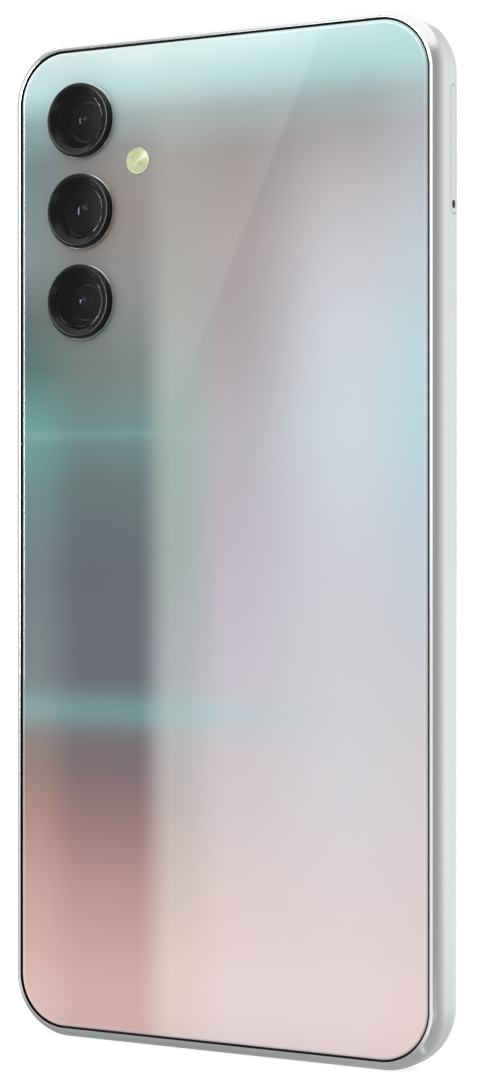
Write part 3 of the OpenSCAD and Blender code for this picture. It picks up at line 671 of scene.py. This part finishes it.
def side_inset(y):
    """How far the side has curved in at depth y, away from its flat band."""
    rear = (y - FLAT_Y[1]) / (LIP_Y - LIP_H - FLAT_Y[1])
    front = (FLAT_Y[0] - y) / (FLAT_Y[0] - FRAME_LOW.y - 0.1 * MM)
    return (LIP_OUT - LIP_W) * max(rear, 0) ** CURVE_POWER + FRONT_IN * max(front, 0) ** CURVE_POWER


def frame_profile():
    """The frame's section as (inset, y) points: curved side with a flat band, bright lip, stepped inside."""
    front_edge, lip_edge = FRAME_LOW.y + 0.15 * MM, LIP_Y - LIP_H
    depths = [front_edge + (FLAT_Y[0] - front_edge) * i / CURVE_STEPS for i in range(CURVE_STEPS)]
    depths += [FLAT_Y[1] + (lip_edge - FLAT_Y[1]) * i / CURVE_STEPS for i in range(CURVE_STEPS + 1)]
    depths.insert(CURVE_STEPS, FLAT_Y[0])
    side = [(side_inset(y), y) for y in depths]
    shoulder = fillet([side[-2], side[-1], (LIP_OUT, LIP_Y), (LIP_OUT, LEDGE_Y)], 0.06 * MM)[1:]
    inside = [
        (SHELF_IN, LEDGE_Y), (SHELF_IN, LEDGE_Y - SHELF_T), (WALL_IN, LEDGE_Y - SHELF_T),
        (WALL_IN, PLATE_Y), (LEDGE_IN, PLATE_Y), (LEDGE_IN, POCKET_Y), (POCKET_IN, POCKET_Y)
    ]
    front = [(POCKET_IN, FRAME_LOW.y), (FRONT_IN + 0.08 * MM, FRAME_LOW.y)]
    rim = fillet([(POCKET_IN, POCKET_Y)] + front + [side[0]], 0.06 * MM)[1:]
    return side[:-2] + shoulder + inside + rim[:-1]


def edge_distance(point):
    """Distance in from the body's outline, seen from the front."""
    a = abs(point.x) - (HALF_W - CORNER_R)
    b = abs(point.z - MID_Z) - (BODY_H / 2 - CORNER_R)
    if a > 0 and b > 0:
        return CORNER_R - math.hypot(a, b)
    return CORNER_R - max(a, b)


PIN_R = 0.65 * MM
TRAY_Y = (-2.0 * MM, -0.8 * MM)
SPEAKER_X = middle("loudspeaker").x
SPEAKER_SLOTS = 6
SPEAKER_PITCH = 2.7 * MM
MIC_R = 0.55 * MM


def prism(name, low, high, radius=0.05 * MM, material=None):
    """A block with upright edges slightly rounded, standing along Y."""
    size = (Vector(high) - Vector(low)) / 2
    mid = (Vector(high) + Vector(low)) / 2
    rings = [
        [(mid.x + a, y, mid.z + b) for a, b in outline(size.x, size.z, radius, 0, 4)] for y in (low[1], high[1])
    ]
    return loft(name, rings, material or MATERIALS["keys"])


def tray_box():
    """Corners of the flat tray that carries the cards, behind its door."""
    low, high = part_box("card_tray")
    return Vector((low.x, TRAY_Y[0], low.z + 3.1 * MM)), Vector((high.x, TRAY_Y[1], high.z - 1.1 * MM))


def side_frame():
    """Band round the phone with the lip, the groove and the openings of its edges."""
    made = loft("frame_band", [body_ring(d, y) for d, y in frame_profile()], MATERIALS["frame"], closed=True)
    made.data.materials.append(groove_shade_material)
    made.data.materials.append(polished_lip_material)
    # Faces inside the groove take the painted shade, faces on the lip's top the polished lip finish
    for face in made.data.polygons:
        inset = edge_distance(face.center)
        y = face.center.y
        if LEDGE_Y - 0.1 * MM < y < LIP_Y - 0.03 * MM and inset > LIP_OUT - 0.02 * MM:
            face.material_index = 1
        elif y > LIP_Y - LIP_H - 0.01 * MM and inset < LIP_OUT + 0.02 * MM:
            face.material_index = 2
    cutters = []
    for key_node in ("power_key", "volume_key"):
        low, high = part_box(key_node)
        centre = (low + high) / 2
        length, width = high.z - low.z - 2 * MM, high.y - low.y - 1.1 * MM
        cutters.append(stadium_x(
            "cut", length + 0.3 * MM, width + 0.3 * MM,
            [(0, HALF_W - 4 * MM), (0, HALF_W + MM)], centre, MATERIALS["frame"]))
    low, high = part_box("card_tray")
    door = Vector((0, (low.y + high.y) / 2, (low.z + high.z) / 2))
    cutters.append(stadium_x(
        "cut", high.z - low.z + 0.16 * MM, high.y - low.y + 0.16 * MM,
        [(0, -HALF_W - MM), (0, -HALF_W + 1.1 * MM)], door, MATERIALS["frame"], 16))
    tray_low, tray_high = tray_box()
    cutters.append(prism(
        "cut", (-HALF_W - MM, tray_low.y - 0.12 * MM, tray_low.z - 0.15 * MM),
        (-HALF_W + WALL_IN + MM, tray_high.y + 0.12 * MM, tray_high.z + 0.15 * MM)))
    rod_low, rod_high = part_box("eject_rod")
    cutters.append(stadium_x(
        "cut", 2 * PIN_R + 0.1 * MM, 2 * PIN_R + 0.1 * MM,
        [(0, -HALF_W - MM), (0, -HALF_W + WALL_IN + MM)], (rod_low + rod_high) / 2, MATERIALS["frame"], 12))
    port_low, port_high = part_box("port_shell")
    cutters.append(slot_z(
        "cut", port_high.x - port_low.x + 0.06 * MM, port_high.y - port_low.y + 0.06 * MM,
        -MM, 4 * MM, (0, 0)))
    jack = middle("headphone_jack")
    cutters.append(slot_z("cut", 4.9 * MM, 4.9 * MM, -MM, 4 * MM, (jack.x, 0), 16))
    for i in range(SPEAKER_SLOTS):
        x = SPEAKER_X + (i - (SPEAKER_SLOTS - 1) / 2) * SPEAKER_PITCH
        cutters.append(slot_z("cut", 1.9 * MM, 1.3 * MM, -MM, 4 * MM, (x, 0)))
    for x, z in ((middle("bottom_microphone").x, 0), (11.5 * MM, BODY_H)):
        cutters.append(slot_z("cut", 2 * MIC_R, 2 * MIC_R, z - 4 * MM, z + 4 * MM, (x, 0)))
    cut(made, cutters)
    return place(made, "phone", "frame", "side_frame")


# ---------- rear cover ----------

COVER_EDGE_W = 0.6 * MM
COVER_EDGE_H = 0.3 * MM
EDGE_STEPS = 6
# Hidden flanges of the rings and the flash, and the gap round each in the cover's hole
RING_FLANGE, RING_GAP = 0.7 * MM, 0.11 * MM
FLASH_FLANGE, FLASH_GAP = 0.6 * MM, 0.08 * MM


def rounded_edge(inset, y, width, height):
    """Section points of a rounded edge that starts at the inset and ends on the face at y."""
    quarter = [math.radians(90 * i / EDGE_STEPS) for i in range(EDGE_STEPS + 1)]
    return [(inset + width * (1 - math.cos(a)), y - height * (1 - math.sin(a))) for a in quarter]


def rear_cover():
    profile = [(COVER_IN, COVER_INNER_Y)] + rounded_edge(COVER_IN, BACK_Y, COVER_EDGE_W, COVER_EDGE_H)
    made = loft("pearl_cover", [body_ring(d, y) for d, y in profile], MATERIALS["cover"])
    made.data.materials.append(painted_edge_highlight_material)
    made.data.materials.append(cover_cut_wall_shade_material)
    # The rounded edge takes the film with its painted highlight, the cut wall below takes the painted shade
    for face in made.data.polygons:
        if len(face.vertices) == 4:
            face.material_index = 1 if face.center.y > BACK_Y - COVER_EDGE_H else 2
    cutters = []
    holes = [(ring, RING_FLANGE, RING_GAP) for ring in RINGS] + [("flash_lens", FLASH_FLANGE, FLASH_GAP)]
    for node, flange, gap in holes:
        low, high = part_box(node)
        centre, hole = (low + high) / 2, (high.x - low.x) / 2 - flange + gap
        cutters.append(lathe("cut", [(hole, 2 * MM), (hole, 6 * MM)], (centre.x, centre.z), MATERIALS["cover"]))
    cut(made, cutters)
    return place(made, "phone", "cover", "back_panel")


# ---------- rear cameras ----------

RINGS = ["upper_camera_ring", "middle_camera_ring", "lower_camera_ring"]
CAMERAS = ["upper", "middle", "lower"]
BARREL_BODY = {"middle": "focus_barrel"}


def camera_ring(which):
    """Ring with a flat rim, a thin polished edge and a sloping band down to the window."""
    low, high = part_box(which + "_camera_ring")
    centre = (low + high) / 2
    outer = (high.x - low.x) / 2 - RING_FLANGE
    top = high.y
    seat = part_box(which + "_camera_window")[1].x - centre.x + 0.05 * MM
    wall = fillet(
        [(outer, COVER_INNER_Y - 0.05 * MM), (outer, top - 0.16 * MM), (outer - 0.16 * MM, top),
         (outer - 0.42 * MM, top)], 0.07 * MM)
    band = [(outer - 0.5 * MM, top - 0.02 * MM), (outer - 0.56 * MM, top - 0.07 * MM)]
    slope = [(seat + 0.06 * MM, top - 0.31 * MM), (seat, top - 0.36 * MM), (seat, top - 0.84 * MM)]
    inner = [(4.1 * MM, top - 0.84 * MM), (4.1 * MM, low.y)]
    flange = [(outer + RING_FLANGE, low.y), (outer + RING_FLANGE, COVER_INNER_Y - 0.05 * MM)]
    profile = wall + band + slope + inner + flange + [wall[0]]
    made = lathe("ring_" + which, profile, (centre.x, centre.z), MATERIALS["ring"], 128)
    made.data.materials.append(ring_edge_material)
    for face in made.data.polygons:
        radius = math.hypot(face.center.x - centre.x, face.center.z - centre.z)
        if outer - 0.55 * MM < radius < outer - 0.42 * MM and face.center.y > top - 0.1 * MM:
            face.material_index = 1
    return place(made, "phone", "ring", which + "_camera_ring")


def ring_seat(which):
    """Bright bead of sealant that closes the gap between a ring and the cover."""
    low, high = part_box(which + "_camera_ring")
    centre = (low + high) / 2
    radius, bead = (high.x - low.x) / 2 - RING_FLANGE + 0.05 * MM, 0.06 * MM
    profile = arc((radius, BACK_Y), bead, 0, 360, 10)[:-1]
    made = lathe("seat_" + which, profile + [profile[0]], (centre.x, centre.z), polished_lip_material, 128)
    return place(made, "phone", "ring")


def camera_window(which):
    low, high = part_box(which + "_camera_window")
    centre, radius = (low + high) / 2, (high.x - low.x) / 2
    bevel = 0.08 * MM
    profile = [
        (0, low.y), (radius, low.y), (radius, high.y - bevel), (radius - bevel, high.y), (0, high.y)
    ]
    made = lathe("window_" + which, profile, (centre.x, centre.z), MATERIALS["camera_glass"], 96)
    return place(made, "phone", "camera_glass", which + "_camera_window")


def lens_barrel(which):
    """Stepped black cone with the front lens in it."""
    low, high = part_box(which + "_lens_barrel")
    centre, radius, top = (low + high) / 2, (high.x - low.x) / 2, high.y
    body = BARREL_BODY.get(which, "phone")
    lens_r, cone_r = radius * 0.46, radius * 0.88
    cone = []
    steps = 5
    tread = (cone_r - lens_r) / steps
    for i in range(steps):
        r = cone_r - tread * i
        y = top - 0.09 * MM * i
        cone += [(r, y), (r - tread * 0.85, y)]
    profile = (
        [(0, low.y), (radius, low.y), (radius, top - 0.3 * MM), (radius * 0.93, top)] + cone
        + [(lens_r, top - 0.62 * MM), (0, top - 0.62 * MM)]
    )
    made = lathe("barrel_" + which, profile, (centre.x, centre.z), MATERIALS["barrel"], 96, 25)
    place(made, body, "barrel", which + "_lens_barrel")
    dome = [(lens_r * math.sin(math.radians(a)), top - 0.55 * MM + lens_r * 0.42 * math.cos(math.radians(a)))
            for a in range(0, 91, 9)]
    glass = lathe("lens_" + which, dome + [(0, top - 0.56 * MM)], (centre.x, centre.z), lens_material, 64)
    return place(glass, body, "barrel")


# ---------- flash ----------

def flash():
    low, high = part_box("flash_lens")
    centre = (low + high) / 2
    radius = (high.x - low.x) / 2 - FLASH_FLANGE
    top = high.y
    grooves = []
    rings = 7
    for i in range(rings):
        r0, r1 = radius * 0.9 * i / rings, radius * 0.9 * (i + 1) / rings
        grooves += [(r0, top - 0.03 * MM), (r1 - 0.02 * MM, top - 0.11 * MM)]
    grooves[0] = (0, top - 0.03 * MM)
    rim = fillet([(radius, low.y), (radius, top), (radius * 0.93, top), grooves[-1]], 0.05 * MM)
    flange, flange_y = radius + FLASH_FLANGE, low.y + 0.25 * MM
    profile = [(0, low.y), (flange, low.y), (flange, flange_y), (radius, flange_y)] + rim[1:] + grooves[::-1][1:]
    made = lathe("flash_window", profile, (centre.x, centre.z), MATERIALS["flash"], 96, 20)
    return place(made, "phone", "flash", "flash_lens")


# ---------- display ----------

def display_glass():
    bevel = 0.25 * MM
    profile = [(GLASS_IN, GLASS_INNER_Y)] + rounded_edge(GLASS_IN, FRONT_Y, bevel, -bevel)
    made = loft("front_glass", [body_ring(d, y) for d, y in profile], MATERIALS["display_glass"])
    slot_low = BODY_H - GLASS_IN - 0.75 * MM
    rings = [
        [(a, y, b + slot_low + 2 * MM) for a, b in outline(6 * MM, 2 * MM, 0.3 * MM, 0, 4)]
        for y in (FRONT_Y - MM, GLASS_INNER_Y + MM)
    ]
    cut(made, [loft("cut", rings, MATERIALS["display_glass"])])
    return place(made, "phone", "display_glass", "display_glass")


def selfie_lens():
    """Front camera's small lens, seen through the clear spot in the glass."""
    centre = middle("front_camera")
    z = BODY_H - 7.5 * MM
    y = GLASS_INNER_Y + 0.1 * MM
    lens_r, lens_y, bulge = 0.75 * MM, y + 0.13 * MM, 0.2 * MM
    dome = [
        (lens_r * math.sin(math.radians(a)), lens_y - bulge * math.cos(math.radians(a)))
        for a in range(0, 91, 15)
    ]
    cone = [
        (lens_r, y + 0.15 * MM), (1.0 * MM, y + 0.05 * MM), (1.6 * MM, y - 0.05 * MM),
        (1.65 * MM, y + 0.3 * MM), (0, y + 0.3 * MM)
    ]
    glass = lathe("selfie_lens", dome + [(0, y + 0.2 * MM)], (centre.x, z), lens_material, 48)
    place(glass, "phone", "camera_body")
    ring = lathe("selfie_cone", cone, (centre.x, z), MATERIALS["barrel"], 64)
    return place(ring, "phone", "camera_body")


# ---------- card tray ----------

DOOR_DEPTH = 1.0 * MM
TRAY_POCKETS = [(0.9 * MM, 8.9 * MM, 12.4 * MM), (11.1 * MM, 11.1 * MM, 13.4 * MM)]


def crown_block(z_low, z_high):
    """What is inside the crowned tray-side face, for shaping the door."""
    half = 3.9 * MM
    ys = [half * (i / CURVE_STEPS - 1) for i in range(2 * CURVE_STEPS + 1)]
    section = [(-HALF_W + side_inset(y), y) for y in ys] + [(-HALF_W + 3 * MM, half), (-HALF_W + 3 * MM, -half)]
    return loft("crown", [[(x, y, z) for x, y in section] for z in (z_low, z_high)], MATERIALS["keys"])


def card_tray():
    """Door that follows the frame's crown, with the pin hole, and the two-pocket tray behind it."""
    low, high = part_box("card_tray")
    mid = (low + high) / 2
    tray_low, tray_high = tray_box()
    door_in = -HALF_W + DOOR_DEPTH
    door = stadium_x(
        "tray_door", high.z - low.z, high.y - low.y, [(0, -HALF_W - MM), (0, door_in)], mid, MATERIALS["keys"], 16)
    crown = crown_block(low.z - MM, high.z + MM)
    keep = door.modifiers.new("crown", "BOOLEAN")
    keep.operation = "INTERSECT"
    keep.solver = "EXACT"
    keep.object = crown
    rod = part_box("eject_rod")
    pin = (rod[0] + rod[1]) / 2
    hole = stadium_x(
        "cut", 2 * PIN_R, 2 * PIN_R, [(0, -HALF_W - 2 * MM), (0, door_in + MM)], pin, MATERIALS["keys"], 12)
    cut(door, [hole])
    bpy.data.objects.remove(crown)
    edges = door.modifiers.new("edges", "BEVEL")
    edges.width = 0.06 * MM
    edges.segments = 2
    edges.angle_limit = math.radians(50)
    door.modifiers.move(1, 0)
    place(door, "tray", "keys", "card_tray")
    tray_low.x = door_in - 0.05 * MM
    body = prism("tray_body", tray_low, tray_high, 0.8 * MM)
    cutters = []
    for offset, length, height in TRAY_POCKETS:
        x = door_in + offset
        z = (tray_low.z + tray_high.z) / 2
        ledge = 0.7 * MM
        cutters.append(prism(
            "cut", (x, tray_low.y - MM, z - height / 2), (x + length, tray_low.y + 0.75 * MM, z + height / 2)))
        cutters.append(prism(
            "cut", (x + ledge, tray_low.y - MM, z - height / 2 + ledge),
            (x + length - ledge, tray_high.y + MM, z + height / 2 - ledge)))
    cut(body, cutters)
    place(body, "tray", "keys")


# ---------- keys ----------

def key(name, node, body, recess=False):
    """Key cap with rounded edges."""
    low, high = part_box(node)
    centre = (low + high) / 2
    flange_out = HALF_W - 1.9 * MM
    length, width = high.z - low.z - 2 * MM, high.y - low.y - 1.1 * MM
    top = high.x
    edge = 0.22 * MM
    cap = [(0, flange_out - 0.3 * MM), (0, top - edge)]
    cap += [
        (edge * (1 - math.cos(math.radians(a))), top - edge * (1 - math.sin(math.radians(a))))
        for a in (22, 45, 67, 90)
    ]
    if recess:
        cap += [(0.42 * MM, top), (0.46 * MM, top - 0.04 * MM), (0.46 * MM, top - 0.28 * MM)]
    made = stadium_x(name, length, width, cap, centre, MATERIALS["keys"], 16)
    sharpen(made, 40)
    return place(made, body, "keys", node)


def touch_sensor():
    low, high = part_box("fingerprint_sensor")
    centre = (low + high) / 2
    edge = 0.06 * MM
    profile = [(0, low.x), (0, high.x - edge), (edge, high.x)]
    made = stadium_x(
        "touch_sensor", high.z - low.z, high.y - low.y, profile, centre, MATERIALS["sensor"], 16)
    return place(made, "power_button", "sensor", "fingerprint_sensor")


# ---------- the CAD nodes that stay ----------

def finish_cad_nodes():
    """Every CAD node takes its slot's material; welded and split at its sharp edges it shades smoothly."""
    slot_of = {s["node"]: s["material_slot"] for s in frame["record"]["subparts"]}
    for name, obj in frame["nodes"].items():
        obj.data.materials.clear()
        obj.data.materials.append(MATERIALS[slot_of[name]])
        if "custom_normal" in obj.data.attributes:
            obj.data.attributes.remove(obj.data.attributes["custom_normal"])
        for face in obj.data.polygons:
            face.use_smooth = True
        weld = obj.modifiers.new("weld", "WELD")
        weld.merge_threshold = 1e-6
        split = obj.modifiers.new("split", "EDGE_SPLIT")
        split.split_angle = math.radians(30)


# ---------- stage, lights and camera ----------

# Brightness of the studio as the phone reflects it: dim and bright level, bright azimuth and how tight it is
STUDIO = (0.34, 0.93, 243, 2)
# Upright strips that the lip reflects: azimuth and half width in degrees, brightness, X of the lip
STRIPS = [(97.5, 7, 1.2, LIP_OUT - HALF_W), (22, 6, 1.0, HALF_W - LIP_OUT)]
# Dark card that the curve of the side reflects at its outline: azimuth and half width in degrees, darkening
SHADE = (-55, 11, 0.6)

# Light ceiling; floor just behind the phone; the strips' share that goes on over the floor
OVERHEAD = 1.2
NEAR_FLOOR = 0.75
FLOOR_STRIP = 0.75
# The floor's own glow as the camera sees it, on top of the light that falls on it
FLOOR_SEEN = 0.8
# Brightness of the card that makes the glare
GLARE = 1.5
CAMERA_AT = (-0.21603, 0.37257, 0.08099)
CAMERA_TOWARDS = (0.4985, -0.8669, 0)
CAMERA_LENS = 90.44


def along(made, x, y, azimuth):
    """How far a horizontal direction, given as its X and Y, points towards an azimuth in degrees."""
    a = math.radians(azimuth)
    return made.math("ADD", made.math("MULTIPLY", x, math.cos(a)), made.math("MULTIPLY", y, math.sin(a)))


def studio_light(made, x, y):
    """Brightness of the studio in a horizontal direction, given as its X and Y."""
    dim, bright, azimuth, tight = STUDIO
    peak = made.math("POWER", made.math("MAXIMUM", along(made, x, y, azimuth), 0.0), tight)
    glow = made.math("ADD", made.math("MULTIPLY", peak, bright - dim), dim)
    return made.math("MULTIPLY", glow, made.math("SUBTRACT", 1.0, strip_light(made, x, y, *SHADE)))


def strip_light(made, x, y, azimuth, half_width, level):
    """Brightness of an upright strip in a horizontal direction."""
    edge = math.sin(math.radians(half_width))
    off = made.fade(made.math("ABSOLUTE", along(made, x, y, azimuth + 90)), edge * 0.8, edge * 1.2)
    ahead = made.fade(along(made, x, y, azimuth), 0.2, 0.4)
    inside = made.math("MULTIPLY", ahead, made.math("SUBTRACT", 1.0, off))
    return made.math("MULTIPLY", inside, level)


def pick(made, seen, lit):
    """One strength for what the camera sees itself, another for what lights or is reflected by the phone."""
    direct = made.node("ShaderNodeLightPath").outputs["Is Camera Ray"]
    other = made.math("MULTIPLY", made.math("SUBTRACT", 1.0, direct), lit)
    return made.math("ADD", made.math("MULTIPLY", direct, seen), other)


def floor():
    """White floor with a faint contact shadow; for the phone it continues the studio's light and dark."""
    made = Shader("floor_white", Roughness=0.9, Specular_IOR_Level=0.1)
    x, y, _ = made.position()

    def towards(from_x):
        """Horizontal direction and distance of the floor's points seen from a lip or from the middle."""
        dx = made.math("SUBTRACT", x, from_x)
        reach = made.length(dx, y)
        return made.math("DIVIDE", dx, reach), made.math("DIVIDE", y, reach), reach

    dx, dy, away = towards(0.0)
    behind = made.fade(y, 0.0, 0.02)
    near = made.math("MULTIPLY", made.math("SUBTRACT", 1.0, made.fade(away, 0.06, 0.16)), behind)
    lit = made.math("MAXIMUM", studio_light(made, dx, dy), made.math("MULTIPLY", near, NEAR_FLOOR))
    for azimuth, half_width, level, lip_x in STRIPS:
        dx, dy, reach = towards(lip_x)
        lit = made.math("MAXIMUM", lit, strip_light(made, dx, dy, azimuth, half_width, level * FLOOR_STRIP))
    seen_only = made.mix(pick(made, 1.0, 0.0), (0, 0, 0, 1), (0.4, 0.4, 0.4, 1))
    made.feed(made.principled.inputs["Base Color"], seen_only)
    made.feed(made.principled.inputs["Emission Strength"], pick(made, FLOOR_SEEN, lit))
    made.principled.inputs["Emission Color"].default_value = (1, 1, 1, 1)
    bm = bmesh.new()
    bmesh.ops.create_circle(bm, cap_ends=True, segments=64, radius=6)
    new_object("floor", bm, made.material)


def world():
    """White backdrop; for the phone it is a studio with a bright side, a dark card, strips and a ceiling."""
    studio = bpy.data.worlds.new("studio")
    scene.world = studio
    studio.use_nodes = True
    made = Nodes(studio.node_tree)
    x, y, z = made.position("Generated")
    ceiling = made.math("MULTIPLY", made.fade(z, 0.56, 0.66), OVERHEAD)
    lit = made.math("MAXIMUM", studio_light(made, x, y), ceiling)
    for *strip, _ in STRIPS:
        lit = made.math("MAXIMUM", lit, strip_light(made, x, y, *strip))
    background = made.tree.nodes["Background"]
    background.inputs["Color"].default_value = (1, 1, 1, 1)
    made.feed(background.inputs["Strength"], pick(made, 1.0, lit))


def softbox(name, azimuth, elevation, distance, size, watts, lights_up=True):
    """Rectangular light; azimuth from +X towards +Y and elevation above the phone's middle, in degrees.

    Without lights_up it is only reflected.
    """
    light = bpy.data.lights.new(name, "AREA")
    light.shape = "RECTANGLE"
    light.size, light.size_y = size
    light.energy = watts
    made = bpy.data.objects.new(name, light)
    centre = Vector((0, 0, MID_Z))
    a, e = math.radians(azimuth), math.radians(elevation)
    made.location = centre + distance * Vector((math.cos(a) * math.cos(e), math.sin(a) * math.cos(e), math.sin(e)))
    made.rotation_euler = (centre - made.location).to_track_quat("-Z", "Y").to_euler()
    made.visible_camera = False
    made.visible_diffuse = lights_up
    scene.collection.objects.link(made)


def glare_card():
    """Card whose slanted edge reflects in the cover as a soft diagonal glare, fading downwards."""
    card = Shader("glare_card", Roughness=1.0, Specular_IOR_Level=0.0)
    x, _, z = card.position()
    card.principled.inputs["Base Color"].default_value = (0.2, 0.2, 0.2, 1)
    card.principled.inputs["Emission Color"].default_value = (1, 1, 1, 1)
    inward = card.math("SUBTRACT", 1.0, card.fade(x, 0.57, 0.615))
    glow = card.math("MULTIPLY", card.fade(z, 0.06, 0.3), inward)
    card.feed(card.principled.inputs["Emission Strength"], card.math("MULTIPLY", glow, GLARE))
    bm = bmesh.new()
    corners = [(0.395, 0.49), (0.60, 0.05), (1.05, 0.05), (1.05, 0.49)]
    bm.faces.new([bm.verts.new((px, 0.9, pz)) for px, pz in corners])
    made = new_object("glare_card", bm, card.material)
    made.visible_camera = False
    made.visible_diffuse = False


def lights():
    """Soft key, side and front lights, and one that only the rings and lenses reflect."""
    softbox("key_light", 74, 26, 1.45, (0.8, 0.5), 5.6)
    softbox("side_light", 37, 9, 1.15, (0.3, 0.4), 3)
    softbox("front_light", -60, 30, 1.5, (0.8, 0.8), 4)
    softbox("ring_light", 37, 7, 1.15, (0.22, 0.7), 7, lights_up=False)


def camera():
    data = bpy.data.cameras.new("camera")
    data.lens = CAMERA_LENS
    data.sensor_width = 36
    data.sensor_fit = "AUTO"
    made = bpy.data.objects.new("camera", data)
    made.location = CAMERA_AT
    made.rotation_euler = Vector(CAMERA_TOWARDS).to_track_quat("-Z", "Y").to_euler()
    scene.collection.objects.link(made)
    scene.camera = made


# ---------- build ----------

scene.view_settings.view_transform = "Standard"
ring_edge_material = ring_edge()
groove_shade_material = groove_shade()
polished_lip_material = polished_lip()
painted_edge_highlight_material = pearl_film(EDGE_HIGHLIGHT_PAINT)
cover_cut_wall_shade_material = cover_cut_wall_shade()
lens_material = lens_glass()
finish_cad_nodes()
side_frame()
rear_cover()
for which in CAMERAS:
    camera_ring(which)
    ring_seat(which)
    camera_window(which)
    lens_barrel(which)
flash()
display_glass()
selfie_lens()
key("power_cap", "power_key", "power_button", recess=True)
key("volume_cap", "volume_key", "volume_rocker")
touch_sensor()
card_tray()
floor()
world()
lights()
glare_card()
camera()
